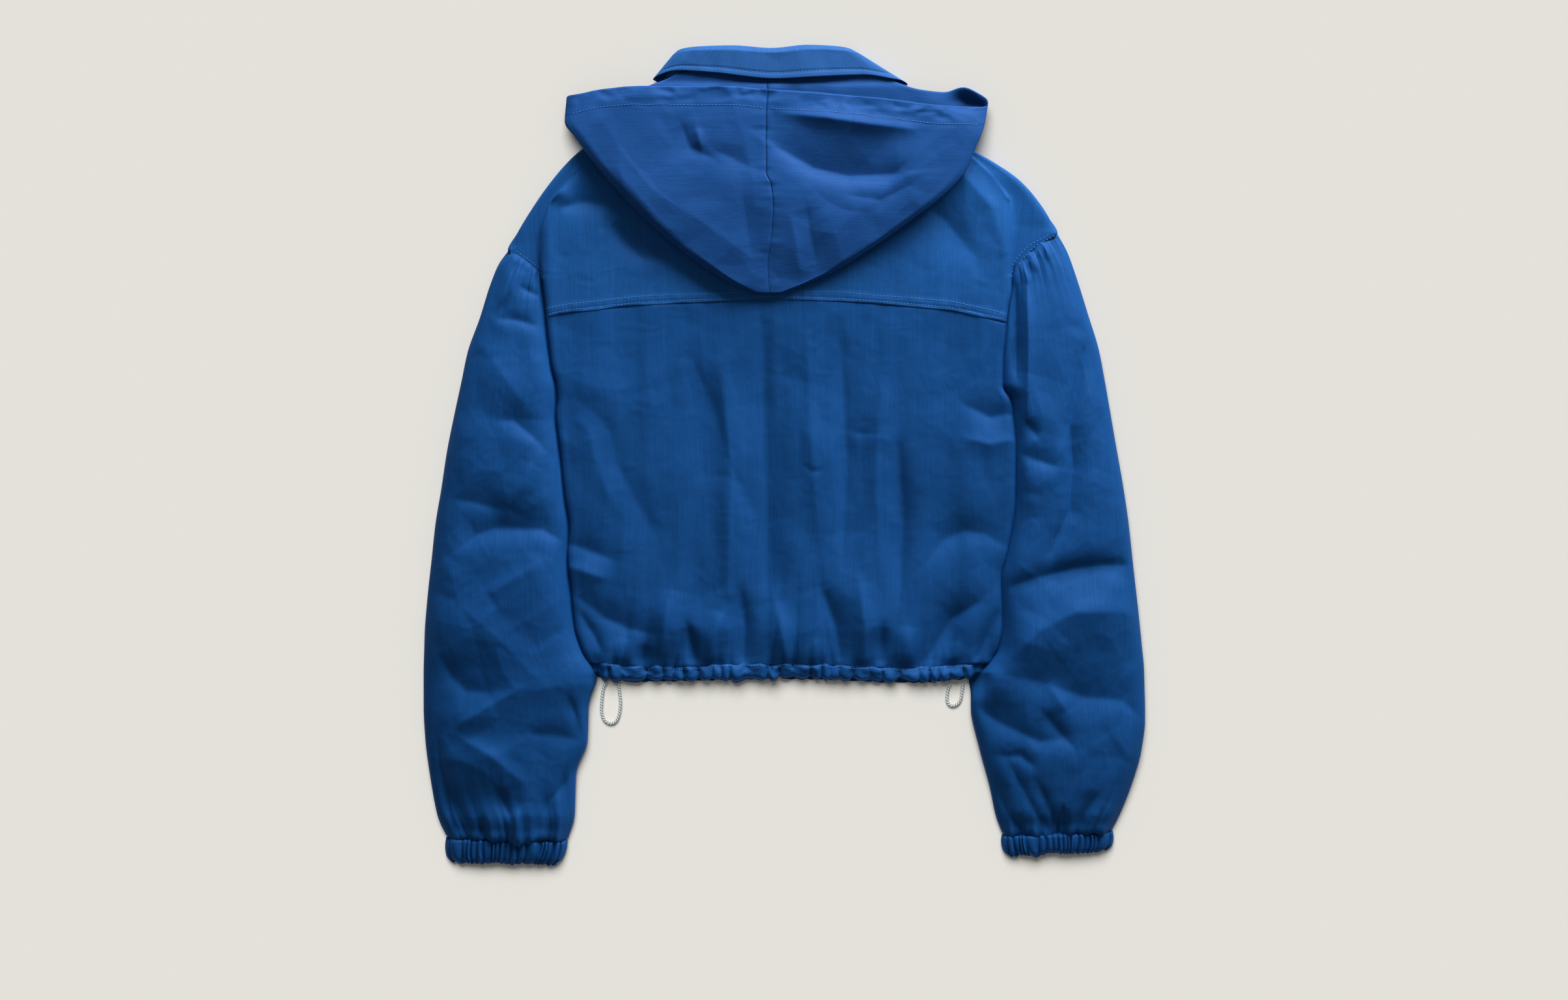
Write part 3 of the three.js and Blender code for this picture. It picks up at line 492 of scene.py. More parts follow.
def tucked_under(grid: Array, ways: tuple, weight: Array | float = 1.0) -> Array:
    """Put rows before a grid's first row, so that its edge goes on under its neighbour.

    Args:
        grid: points in mm, shape (nj, ni, 3).
        ways: for each new row, how far it moves in y and z from the first row, mm.
        weight: share of that move for each column.

    Returns:
        The grid with the new rows, the furthest first.
    """
    moves = np.array([(0.0, dy, dz) for dy, dz in ways])
    share = np.broadcast_to(np.asarray(weight, float), grid.shape[1])[None, :, None]
    return np.concatenate([grid[:1] + moves[:, None] * share, grid], axis=0)


def at_distance(grid: Array, distance: float) -> Array:
    """The line on a grid that keeps one distance from its first row, measured along j.

    Args:
        grid: points in mm, shape (nj, ni, 3).
        distance: from row 0, mm.

    Returns:
        One point for each column, shape (ni, 3).
    """
    steps = np.linalg.norm(np.diff(grid, axis=0), axis=2)
    far = np.concatenate([np.zeros((1, grid.shape[1])), np.cumsum(steps, axis=0)])
    j = np.clip((far < distance).sum(axis=0), 1, len(grid) - 1)
    columns = np.arange(grid.shape[1])
    t = (distance - far[j - 1, columns]) / np.maximum(steps[j - 1, columns], 1e-9)
    return mix(grid[j - 1, columns], grid[j, columns], np.clip(t, 0, 1)[:, None])


def resampled(line: Array, pitch: float) -> Array:
    """Points evenly spaced along a line, about pitch apart."""
    far = run_of(line)
    even = np.linspace(0, far[-1], max(int(far[-1] / pitch), 2))
    return np.stack([np.interp(even, far, line[:, k]) for k in range(3)], axis=-1)


def stitch_rows(name: str, lines: list[Array], sink: float = -0.05) -> bpy.types.Object:
    """Rows of topstitching: each stitch is a six-sided bead, pointed at both ends.

    A bead's radius is 0.27 mm along its middle and 0.12 mm at its ends, and it is 2.1 mm long. Real
    thread is thinner: it is drawn as coarse as it needs to be to show.

    Args:
        name: the piece's name.
        lines: lines on the cloth, each of shape (n, 3), mm.
        sink: how deep a bead's middle lies below the line, mm; below 0 it lies above the line.

    Returns:
        One object with all the beads.
    """
    sides = 6
    rings = ((-1.05, 0.12), (-0.5, 0.27), (0.5, 0.27), (1.05, 0.12))
    around = np.arange(sides) * 2 * math.pi / sides
    shape = np.array([[a, r * math.cos(t), r * math.sin(t)] for a, r in rings for t in around])
    last = (len(rings) - 1) * sides
    faces = []
    for first in range(0, last, sides):
        for i in range(sides):
            a, b = first + i, first + (i + 1) % sides
            faces += [(a, b, b + sides), (a, b + sides, a + sides)]
    for i in range(1, sides - 1):
        faces += [(0, i + 1, i), (last, last + i, last + i + 1)]
    centres, aheads = [], []
    for line in lines:
        knots = resampled(line, STITCH_PITCH)
        centres.append((knots[:-1] + knots[1:]) / 2)
        aheads.append(np.diff(knots, axis=0))
    centre, ahead = np.concatenate(centres), np.concatenate(aheads)
    ahead /= np.linalg.norm(ahead, axis=1, keepdims=True)
    beside = np.cross([0.0, 0.0, 1.0], ahead)
    beside /= np.maximum(np.linalg.norm(beside, axis=1, keepdims=True), 1e-9)
    up = np.cross(ahead, beside)
    axes = np.stack([ahead, beside, up], axis=1)
    points = np.einsum("kc,ncd->nkd", shape, axes) + (centre - up * sink)[:, None]
    count = len(shape)
    every = (np.array(faces)[None] + np.arange(len(centre))[:, None, None] * count).reshape(-1, 3)
    return make_mesh(name, points.reshape(-1, 3), every)


# Finishes


def linear(hex_colour: int) -> tuple[float, float, float, float]:
    """An sRGB hex colour as linear light with full opacity."""
    parts = [((hex_colour >> shift) & 255) / 255 for shift in (16, 8, 0)]
    light = [c / 12.92 if c <= 0.04045 else ((c + 0.055) / 1.055) ** 2.4 for c in parts]
    return (light[0], light[1], light[2], 1.0)


def node(tree: bpy.types.NodeTree, kind: str, links: dict | None = None, **settings) -> bpy.types.Node:
    """Add one shader node.

    Args:
        tree: the material's tree.
        kind: the node's type, without its ShaderNode prefix.
        links: by the new node's socket, an output that feeds it or a plain value for it.
        settings: properties of the node itself.

    Returns:
        The new node.
    """
    made = tree.nodes.new("ShaderNode" + kind)
    for key, value in settings.items():
        setattr(made, key, value)
    for key, value in (links or {}).items():
        if isinstance(value, bpy.types.NodeSocket):
            tree.links.new(value, made.inputs[key])
        else:
            made.inputs[key].default_value = value
    return made


def new_material(name: str) -> tuple[bpy.types.Material, bpy.types.NodeTree]:
    """A material and its empty tree."""
    material = bpy.data.materials.new(name)
    material.use_nodes = True
    material.node_tree.nodes.clear()
    return material, material.node_tree


def noise(
    tree: bpy.types.NodeTree,
    at: bpy.types.NodeSocket,
    scale: float,
    detail: float,
    roughness: float = 0.5,
) -> bpy.types.NodeSocket:
    """Noise from 0 to 1 at a place."""
    links = {"Vector": at, "Scale": scale, "Detail": detail, "Roughness": roughness}
    return node(tree, "TexNoise", links).outputs["Fac"]


def bump(
    tree: bpy.types.NodeTree,
    height: bpy.types.NodeSocket,
    strength: float,
    distance: float,
    under: bpy.types.NodeSocket | None = None,
) -> bpy.types.NodeSocket:
    """The normal of a relief, on top of another relief's normal where there is one."""
    links = {"Height": height, "Strength": strength, "Distance": distance}
    if under is not None:
        links["Normal"] = under
    return node(tree, "Bump", links).outputs["Normal"]


def blend(
    tree: bpy.types.NodeTree, share: bpy.types.NodeSocket, low: object, high: object
) -> bpy.types.NodeSocket:
    """The colour share of the way from low to high, each a colour or an output."""
    return node(tree, "Mix", {0: share, 6: low, 7: high}, data_type="RGBA").outputs[2]


def worked_out(tree: bpy.types.NodeTree, operation: str, *terms: object) -> bpy.types.NodeSocket:
    """The number that an operation gives for terms, each a number or an output."""
    return node(tree, "Math", dict(enumerate(terms)), operation=operation).outputs[0]


def shaded(material: bpy.types.Material, settings: dict) -> bpy.types.Material:
    """Give a material a shader with these inputs."""
    shader = node(material.node_tree, "BsdfPrincipled", settings)
    node(material.node_tree, "OutputMaterial", {"Surface": shader.outputs[0]})
    return material


def uneven_material(
    name: str, grain: tuple[float, float], relief: tuple[float, float], settings: dict
) -> bpy.types.Material:
    """A material whose surface is uneven in all directions alike.

    Args:
        name: the material's name.
        grain: scale and detail of the noise, in the piece's own metres.
        relief: strength and distance of the bump that it drives.
        settings: the shader's other inputs.

    Returns:
        The material.
    """
    material, tree = new_material(name)
    place = node(tree, "TexCoord").outputs["Object"]
    normal = bump(tree, noise(tree, place, *grain), *relief)
    return shaded(material, {**settings, "Normal": normal})


@dataclass(frozen=True)
class PoplinFinish:
    """Garment-dyed cotton and nylon poplin: fine yarns, slubs along one of them, a soft sheen.

    It gives the eye a deep matt blue that turns paler where it faces the light, thin streaks of
    thicker yarn, and a slight bloom at glancing angles.
    """

    name: str
    deep: int
    pale: int
    grain: Grain
    slub_width: float = 0.0011  # m across a streak
    slub_length: float = 0.055  # m along a streak
    yarn: float = 0.0009  # m between yarns, three times the real spacing so that it shows
    rough: float = 0.62

    def build(self) -> bpy.types.Material:
        """The material, from the piece's own UV map in metres."""
        material, tree = new_material(self.name)
        uv = node(tree, "UVMap", uv_map="cloth").outputs["UV"]
        along = (1 / self.slub_width, 1 / self.slub_length, 1.0)
        scale = along if self.grain is Grain.ALONG else (along[1], along[0], 1.0)
        streak_at = node(tree, "Mapping", {"Vector": uv, "Scale": scale}).outputs["Vector"]
        streak = noise(tree, streak_at, 1.0, 2.0, 0.6)
        cloud = noise(tree, uv, 22.0, 3.0, 0.55)
        rumple = noise(tree, uv, 95.0, 4.0, 0.6)
        wave = {"Vector": uv, "Scale": WAVE_PERIOD / self.yarn, "Distortion": 1.2, "Detail": 1.0}
        warp, weft = (
            node(tree, "TexWave", wave, bands_direction=way).outputs["Fac"] for way in ("X", "Y")
        )
        spread = {"Value": streak, "From Min": 0.3, "From Max": 0.75, "To Min": 0.18, "To Max": 0.68}
        streaked = node(tree, "MapRange", spread).outputs["Result"]
        tone = worked_out(tree, "MULTIPLY_ADD", cloud, 0.2, streaked)
        yarns = bump(tree, worked_out(tree, "ADD", warp, weft), 0.35, 0.00006)
        slubs = bump(tree, streak, 0.35, 0.00015, yarns)
        settings = {
            "Base Color": blend(tree, tone, linear(self.deep), linear(self.pale)),
            "Roughness": self.rough,
            "IOR": 1.45,
            "Specular IOR Level": 0.1,
            "Sheen Weight": 0.03,
            "Sheen Roughness": 0.4,
            "Sheen Tint": linear(0x9CC4F0),
            "Normal": bump(tree, rumple, 0.3, 0.0006, slubs),
        }
        return shaded(material, settings)


@dataclass(frozen=True)
class ThreadFinish:
    """Spun polyester thread, dyed with the cloth: a little paler, because its beads catch light."""

    name: str
    colour: int

    def build(self) -> bpy.types.Material:
        """The material, with the twist of the thread as a fine bump."""
        settings = {"Base Color": linear(self.colour), "Roughness": 0.55, "IOR": 1.5}
        return uneven_material(self.name, (2600.0, 1.0), (0.4, 0.0001), settings)


@dataclass(frozen=True)
class ElasticBraidFinish:
    """Braided elastic cord: pale grey-green yarns with a dark tracer yarn that shows as ticks."""

    name: str
    pale: int
    tracer: int
    tick: float = 0.0024  # m between ticks
    tick_share: float = 0.3  # how much of that is dark
    turns: float = 236.0  # ticks to a metre round the cord, which is two in all

    def build(self) -> bpy.types.Material:
        """The material: u runs round the cord and v along it, both in metres."""
        material, tree = new_material(self.name)
        uv = node(tree, "UVMap", uv_map="cloth").outputs["UV"]
        place = node(tree, "SeparateXYZ", {"Vector": uv})
        along = worked_out(tree, "MULTIPLY", place.outputs["Y"], 1 / self.tick)
        around = worked_out(tree, "MULTIPLY", place.outputs["X"], self.turns)
        phase = worked_out(tree, "FRACT", worked_out(tree, "ADD", along, around))
        tick = worked_out(tree, "LESS_THAN", phase, self.tick_share)
        yarn = noise(tree, uv, 1800.0, 2.0)
        base = blend(tree, yarn, linear(self.pale), linear(0xE2E6E4))
        settings = {
            "Base Color": blend(tree, tick, base, linear(self.tracer)),
            "Roughness": 0.7,
            "IOR": 1.5,
            "Normal": bump(tree, yarn, 0.6, 0.0002),
        }
        return shaded(material, settings)


@dataclass(frozen=True)
class AcetalTeethFinish:
    """Moulded acetal zip teeth on a woven tape: smooth, a little shiny, the colour of the cloth."""

    name: str
    colour: int

    def build(self) -> bpy.types.Material:
        """The material, with the faint unevenness of a moulding."""
        settings = {"Base Color": linear(self.colour), "Roughness": 0.35, "IOR": 1.48}
        return uneven_material(self.name, (900.0, 2.0), (0.2, 0.0001), settings)


@dataclass(frozen=True)
class PaperFinish:
    """Matt seamless background paper: a warm white without gloss."""

    name: str
    colour: int

    def build(self) -> bpy.types.Material:
        """The material, with the paper's faint tooth."""
        settings = {"Base Color": linear(self.colour), "Roughness": 0.9, "Specular IOR Level": 0.1}
        return uneven_material(self.name, (700.0, 3.0), (0.06, 0.0001), settings)


# The garment's outline, as in the CAD source

BODY_SIDE = Table(
    "y left right",
    (
        (155, -212.5, 199.5), (143, -211.5, 199), (128, -210, 195.5), (105, -208, 194),
        (80, -205, 192), (60, -200.5, 192), (48, -199.5, 199), (36, -201, 201.5),
        (8, -198, 203), (-38, -193, 203), (-66, -189, 200), (-88, -191, 195.5),
        (-110, -188.5, 190.5), (-150, -185, 192), (-168, -179.5, 189), (-180, -174.5, 182.5),
        (-190, -170, 176),
    ),
)
YOKE_SEAM = Table(
    "x y",
    (
        (-212, 120), (-195, 124), (-166, 127.5), (-122, 132), (-37, 135.5), (-16, 137),
        (40, 135.5), (91, 132), (144, 127), (200, 115),
    ),
)
HEM_SEAM = Table(
    "x y",
    (
        (-175, -181.5), (-150, -185), (-123, -187), (-70, -186), (-20, -184.8), (34, -185.2),
        (85, -187.5), (120, -188), (150, -185.5), (178, -182.5),
    ),
)
YOKE_ROWS = Table(
    "leftX leftY rightX rightY middle low",
    (
        (-209, 120, 194.5, 116, 137, 6), (-210.2, 131, 196.5, 130, 147, 6),
        (-211.6, 144, 199, 143, 159, 6), (-212.5, 152, 199.5, 153.5, 168, 6),
        (-214, 156.5, 201, 157.5, 172, 5), (-221, 162, 208, 168, 181, 7.5),
        (-232, 170.5, 222, 183, 193, 8), (-242.5, 179.5, 239.5, 194.5, 204, 8),
        (-235, 195, 233, 208, 215, 9), (-223, 215, 221, 226, 229, 10),
        (-207, 238, 206, 242, 244, 11), (-188, 260, 186, 256, 260, 10.5),
        (-163, 281, 159, 272, 278, 10), (-136, 302, 132, 294, 304, 9.5),
        (-107, 324, 101, 320, 334, 9),
    ),
)
ARM_FROM, ARM_TO = 4.0, 7.0  # rows of the yoke that end at the armhole
BODY_FOLD = Table(
    "y left right step",
    (
        (150, -213, 199.5, 6.5), (164, -213, 199, 6), (191, -212, 199, 4.5),
        (215, -206, 198, 1.5), (240, -188, 184, 0), (262, -165, 162, 0),
        (300, -116, 112, 0), (334, -84, 80, 0),
    ),
)
BODY_HEIGHT = Table(
    "y middle edge",
    (
        (-190, 9.4, 9.2), (-172, 12.6, 11.8), (-150, 14.5, 13.5), (-110, 13.5, 14.5),
        (-40, 12.5, 15), (50, 12.5, 14.5), (125, 13, 14.5), (200, 12.5, 13.5),
        (260, 11, 11), (334, 9, 9),
    ),
)
BODY_CREASES = Creases((
    (((-206, 243), (-196, 232), (-187, 220)), 10, 2.6, 0.0),
    (((-195, 217), (-175, 222), (-154, 220)), 11, -3.6, -0.2),
    (((-150, 203), (-136, 186), (-122, 170)), 11, -3.6, -0.15),
    (((-122, 170), (-106, 188)), 7.5, -1.3, 0.0),
    (((111, 227), (140, 206), (168, 172)), 17, -3.2, 0.15),
    (((150, 252), (182, 216), (194, 172)), 13, 2.4, 0.0),
    (((-181, 47), (-166, 36), (-153, 20), (-146, -10), (-128, -44), (-109, -76)), 16.5, -1.8, 0.2),
    (((-172, 22), (-163, -12), (-148, -48)), 10, 1.2, 0.0),
    (((-80, 82), (-62, 40), (-50, -4), (-28, -52)), 18.5, -2.6, 0.2),
    (((-18, 112), (-17, 20), (-15, -70), (-14, -170)), 16.5, -4.2, 0.15),
    (((-55, 70), (-46, -20), (-50, -120)), 13, 3.2, 0.0),
    (((20, 104), (24, 10), (30, -70)), 15.5, 3.2, -0.15),
    (((50, 96), (55, -4), (50, -96)), 14.5, -3.8, 0.2),
    (((84, 70), (80, -20), (84, -110)), 13, 3.0, 0.0),
    (((100, 6), (104, -60), (100, -126)), 10, -3.2, 0.15),
    (((17, -9), (25, -15), (34, -13)), 3, -0.6, 0.0),
    (((57, 20), (82, 17)), 6, -0.8, -0.2),
    (((158, 44), (180, 33), (204, 38)), 11, -2.6, -0.2),
    (((160, 14), (180, 9), (203, 14)), 9, 1.8, 0.15),
    (((122, -96), (140, -74), (158, -66), (174, -68), (190, -78)), 14.5, -2.6, -0.2),
    (((-189, -77), (-170, -84), (-150, -92)), 11, -2.2, -0.2),
    (((-187, -98), (-158, -108)), 9, 1.9, 0.15),
    (((-180, -124), (-158, -142), (-136, -152), (-113, -157)), 14.5, -3.2, -0.25),
    (((-179, -138), (-168, -156), (-160, -172)), 6, -2.2, 0.0),
    (((-99, -118), (-104, -142), (-108, -178)), 13, 4.2, -0.2),
    (((-84, -150), (-80, -168), (-77, -185)), 7, -4.4, 0.2),
    (((-54, -138), (-62, -160), (-68, -185)), 10, 3.9, 0.2),
    (((-38, -120), (-34, -150), (-36, -186)), 9, -3.8, 0.0),
    (((-8, -128), (-2, -158), (2, -186)), 11, 3.4, 0.2),
    (((34, -118), (45, -150), (50, -182)), 10, -4.6, -0.2),
    (((66, -112), (70, -150), (70, -184)), 12, 4.0, 0.2),
    (((86, -150), (84, -186)), 7, -3.6, 0.0),
    (((171, -128), (146, -144), (134, -164), (121, -186)), 12, -4.2, 0.25),
    (((108, -150), (104, -187)), 10, 3.2, 0.0),
    (((186, -138), (178, -158), (167, -181)), 6, -2.4, 0.0),
    (((-140, -160), (-146, -186)), 7.5, 2.2, 0.0),
    (((-122, -166), (-126, -186)), 6, -2.2, 0.0),
    (((28, -160), (24, -186)), 6, 1.9, 0.0),
    (((152, -164), (146, -187)), 6, 1.9, 0.0),
))


@dataclass
class Body:
    """The back of the body: a yoke over the shoulders and a lower panel gathered into the hem."""

    middle_columns: int = 200
    edge_columns: int = 13
    yoke_rows: int = 130
    lower_rows: int = 190
    band_height: float = 0.45  # seam turnings under the two rows of stitches
    lap: float = 0.9  # how far the yoke's edge lies over the lower panel
    depth: float = 1.6  # how much the creases are deepened

    def seam_y(self, x: Array) -> Array:
        """The yoke seam's y at x, mm."""
        return YOKE_SEAM.read("x", "y", x)

    def hem_y(self, x: Array) -> Array:
        """The hem seam's y at x, mm."""
        return HEM_SEAM.read("x", "y", x)

    def level(self, x: Array, y: Array) -> Array:
        """Height of the upper face without creases: one curve along the middle, one at the edge."""
        middle, edge = BODY_HEIGHT.read("y", "middle", y), BODY_HEIGHT.read("y", "edge", y)
        return mix(middle, edge, sideways(x))

    def height(self, x: Array, y: Array) -> Array:
        """Height of the back's upper face away from its folded edges, mm.

        The level, plus the listed creases, long soft waves up and down the panel, two sizes
        of facets, a fine crumple, puckers on both sides of the yoke seam, and gathers that spread
        up from the hem.
        """
        above = y - self.seam_y(x)
        over_hem = y - self.hem_y(x)
        total = self.level(x, y) + self.depth * BODY_CREASES.height(x, y) * smooth(over_hem / 12 + 0.25)
        waves = 1.7 * soft_noise(x / 24, y / 150, 2.0) + 0.6 * soft_noise(x / 10, y / 80, 6.0)
        folded = 1.7 * facets(x, y / 1.7, 52, 11.0) + 0.5 * facets(x, y / 1.3, 21, 15.0)
        worn = waves * np.where(above < 0, 1.0, 0.3) + folded + 0.16 * crumple(x, y, 13, 21.0)
        total = total + worn * smooth((336 - y) / 30)
        pucker = soft_noise(x / 3.6, y / 30, 9.0)
        near = np.exp(-np.abs(above - 3.5) / 5.0)
        total = total + 0.5 * pucker * near
        below = smooth(-above / 3) * np.exp(above / 26)
        total = total + 0.9 * soft_noise(x / 11, y / 90, 14.0) * np.where(above < 0, below, 0)
        span = hem_share(x)
        fine = gathers(span, 29, 1.4) * np.exp(-over_hem / 9)
        fan = span + 0.0009 * over_hem * soft_noise(x / 40, 0.0, 23.0)
        broad = gathers(fan, 13, 4.2) * np.exp(-over_hem / 30)
        reach = 0.75 + 0.55 * soft_noise(x / 30, 0.0, 17.0)
        return total + (1.2 * fine + 3.1 * broad * reach) * smooth(over_hem / 4 + 0.6)

    def edge_controls(self, x_edge: Array, y_edge: Array, low: Array, ends: Array, side: int) -> Array:
        """Six points across each row's end, from its foot to its top.

        At a folded side they go round an arc. At the armhole they run level out to the seam, and
        at the shoulder round a lower arc, and both step up to the body where it folds over.

        Args:
            x_edge: outermost x of each row, mm.
            y_edge: y there, mm.
            low: height of the cloth outside the body's fold, mm.
            ends: weights of side, armhole and shoulder, shape (rows, 3).
            side: -1 left, 1 right.

        Returns:
            x and z, shape (rows, 6, 2).
        """
        angles = np.radians([238, 212, 186, 160, 135, 112])

        def arc(edge: Array, top: Array) -> Array:
            """x and z round a fold from foot to top."""
            middle = mix(BACK_FOOT, top, 0.42)[:, None]
            up = top[:, None] - middle
            down = (middle - BACK_FOOT) / math.sin(math.radians(58))
            lift = np.where(np.sin(angles) > 0, up, down)
            x = edge[:, None] - side * ROLL * (1 + np.cos(angles))
            return np.stack([x, middle + lift * np.sin(angles)], axis=-1)

        inner = x_edge - side * ROLL
        plain = arc(x_edge, self.height(inner, y_edge))
        fold = BODY_FOLD.read("y", "left" if side < 0 else "right", y_edge)
        step = BODY_FOLD.read("y", "step", y_edge)
        top = self.height(fold - side * ROLL, y_edge)
        low = np.minimum(low, top - step)
        rise = mix(low, top, np.where(step > 1, 0.5, 0.8))
        crest = np.stack([fold - side * 2.5, top - np.minimum(step, 1.4) * 0.8], axis=-1)
        brink = np.stack([fold + side * 0.4, rise], axis=-1)
        reach = np.maximum(np.abs(x_edge - fold), 1.2)[:, None]
        out_x = fold[:, None] + side * reach * np.array([1, 0.66, 0.33, 0.12])
        out_z = low[:, None] + np.array([0, 0.2, 0.3, 0.8])
        arm = np.concatenate([np.stack([out_x, out_z], -1), brink[:, None], crest[:, None]], axis=1)
        round_low = arc(x_edge, low)[:, [1, 5]]
        ledge = np.stack([mix(inner, fold, 0.45), low], axis=-1)
        nook = np.stack([mix(inner, fold, 0.85), low + 0.4], axis=-1)
        flat = np.stack([ledge, nook, brink, crest], axis=1)
        shoulder = np.concatenate([round_low, flat], axis=1)
        kinds = np.stack([plain, arm, shoulder], axis=1)
        return np.einsum("rk,rkcd->rcd", ends, kinds)

    def across(self, left: Array, right: Array, y_of, inner_left: Array, inner_right: Array) -> Array:
        """A whole grid from the six points at both ends of its rows and the level middle.

        Args:
            left: controls of the left end, shape (rows, 6, 2).
            right: controls of the right end, shape (rows, 6, 2).
            y_of: gives y for x, both of shape (rows, columns).
            inner_left: x where the middle starts, shape (rows,).
            inner_right: x where it ends, shape (rows,).

        Returns:
            Points in mm, shape (rows, columns, 3).
        """
        k = np.linspace(0, 5, self.edge_columns)
        whole = np.clip(k.astype(int), 0, 4)
        t = (k - whole)[None, :, None]

        def round_end(controls: Array) -> Array:
            """Catmull-Rom curve through the six points of each row."""
            padded = np.concatenate([controls[:, :1], controls, controls[:, -1:]], axis=1)
            return curve_through(*(padded[:, whole + s] for s in range(4)), t)

        ends = [round_end(left), round_end(right)[:, ::-1]]
        u = np.linspace(0, 1, self.middle_columns + 2)[1:-1]
        middle_x = mix(inner_left[:, None], inner_right[:, None], u[None])
        x = np.concatenate([ends[0][..., 0], middle_x, ends[1][..., 0]], axis=1)
        y = y_of(x)
        z = self.height(x, y)
        # at both ends the heights are those of the curves round the edges
        n = self.edge_columns
        z[:, :n] = ends[0][..., 1]
        z[:, -n:] = ends[1][..., 1]
        return points_of(x, y, z)

    def yoke_grid(self) -> Array:
        """The yoke's outer face, rows from its seam up to the neck.

        Its edge is raised by the turnings, which end beyond the upper row of stitches, and each
        row of stitches pulls a shallow groove.
        """
        s = np.linspace(0, len(YOKE_ROWS.rows) - 1, self.yoke_rows)
        at = YOKE_ROWS.at_rows(s)
        weights = np.stack(
            [
                np.clip(ARM_FROM - s, 0, 1),
                np.clip(s - ARM_FROM + 1, 0, 1) * np.clip(ARM_TO + 1 - s, 0, 1),
                np.clip(s - ARM_TO, 0, 1),
            ],
            axis=1,
        )
        weights /= weights.sum(axis=1, keepdims=True)
        first = YOKE_ROWS.at_rows(np.maximum(s, 1.0))

        def y_of(x: Array) -> Array:
            """Rows bow towards the neck in the middle, and the first row is the seam itself."""
            r = {name: values[:, None] for name, values in first.items()}
            u = np.clip((x - r["leftX"]) / (r["rightX"] - r["leftX"]), 0, 1)
            ends = mix(r["leftY"], r["rightY"], u)
            bowed = ends + (r["middle"] - (r["leftY"] + r["rightY"]) / 2) * 4 * u * (1 - u)
            return mix(self.seam_y(x) - self.lap, bowed, np.clip(s, 0, 1)[:, None])

        left = self.edge_controls(at["leftX"], at["leftY"], at["low"], weights, -1)
        right = self.edge_controls(at["rightX"], at["rightY"], at["low"], weights, 1)
        plain = weights[:, 0]
        fold_left = BODY_FOLD.read("y", "left", at["leftY"])
        fold_right = BODY_FOLD.read("y", "right", at["rightY"])
        inner_left = mix(fold_left, at["leftX"], plain) + ROLL
        inner_right = mix(fold_right, at["rightX"], plain) - ROLL
        grid = self.across(left, right, y_of, inner_left, inner_right)
        above = grid[..., 1] - self.seam_y(grid[..., 0])
        grooves = bell((above - STITCH_INSET) / 0.6) + bell((above - TURNING) / 0.6)
        turnings = self.band_height * smooth((TURNING + 1.8 - above) / 1.8)
        grid[..., 2] += turnings - 0.3 * grooves
        return grid

    def lower_grid(self) -> Array:
        """The lower panel's outer face, rows from the yoke seam down to the hem seam."""
        v = np.linspace(0, 1, self.lower_rows)[:, None]

        def y_of(x: Array | float) -> Array:
            """y of every row at x."""
            return mix(self.seam_y(x) - 0.1, self.hem_y(x), v)

        left_y, right_y = y_of(-200.0)[:, 0], y_of(190.0)[:, 0]
        left_x = BODY_SIDE.read("y", "left", left_y)
        right_x = BODY_SIDE.read("y", "right", right_y)
        ends = np.tile([1.0, 0.0, 0.0], (len(v), 1))
        none = np.zeros(len(v))
        left = self.edge_controls(left_x, left_y, none, ends, -1)
        right = self.edge_controls(right_x, right_y, none, ends, 1)
        return self.across(left, right, y_of, left_x + ROLL, right_x - ROLL)

    def stitch_lines(self, yoke: Array) -> list[Array]:
        """Two rows above the yoke seam and two beside each armhole."""
        cut = self.edge_columns
        lines = [at_distance(yoke, d + self.lap)[6:-6] for d in (STITCH_INSET, TURNING)]
        rows = len(YOKE_ROWS.rows) - 1
        first = int(math.ceil(ARM_FROM / rows * (self.yoke_rows - 1)))
        last = int(ARM_TO / rows * (self.yoke_rows - 1))
        for flank in (yoke[first:last, :cut], yoke[first:last, ::-1][:, :cut]):
            for d in (STITCH_INSET, TURNING):
                lines.append(at_distance(flank.transpose(1, 0, 2), d)[1:])
        return lines

    def build(
        self, finish: bpy.types.Material, yoke_painted_lighter: bpy.types.Material, thread: bpy.types.Material
    ) -> list[bpy.types.Object]:
        """Both panels and their stitches.

        Args:
            finish: the lower panel's cloth.
            yoke_painted_lighter: the yoke's cloth, painted paler than the lower panel's: painted light for
                the light that the yoke catches.
            thread: the stitches.

        Returns:
            The yoke, the lower panel and the stitches.
        """
        yoke_grid, lower_grid = self.yoke_grid(), self.lower_grid()
        lower_grid = tucked_under(lower_grid, ((2.4, -0.9), (1.2, -0.3)))
        yoke = dress(cloth_wall("yoke_cloth", yoke_grid), yoke_painted_lighter, "shell", "back_yoke")
        lower = dress(cloth_wall("back_cloth", lower_grid, turned=True), finish, "shell", "back_lower")
        rows = dress(stitch_rows("yoke_stitches", self.stitch_lines(yoke_grid)), thread, "shell")
        return [yoke, lower, rows]


def dress(piece: bpy.types.Object, finish: bpy.types.Material, slot: str, *nodes: str) -> bpy.types.Object:
    """Give a piece its finish and its body, and hide the CAD nodes that it stands for.

    Args:
        piece: the piece.
        finish: its material.
        slot: not used.
        nodes: CAD nodes that it replaces.

    Returns:
        The same piece.
    """
    piece.data.materials.append(finish)
    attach(piece, "root")
    if nodes:
        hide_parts(*nodes)
    return piece


NECK_FRONT = Table(
    "x y",
    (
        (-113, 315.5), (-100, 303), (-84, 288), (-62, 273.5), (-34, 262.5), (-4, 258),
        (28, 260.5), (54, 269.5), (78, 284), (93, 297), (106, 311.5),
    ),
)


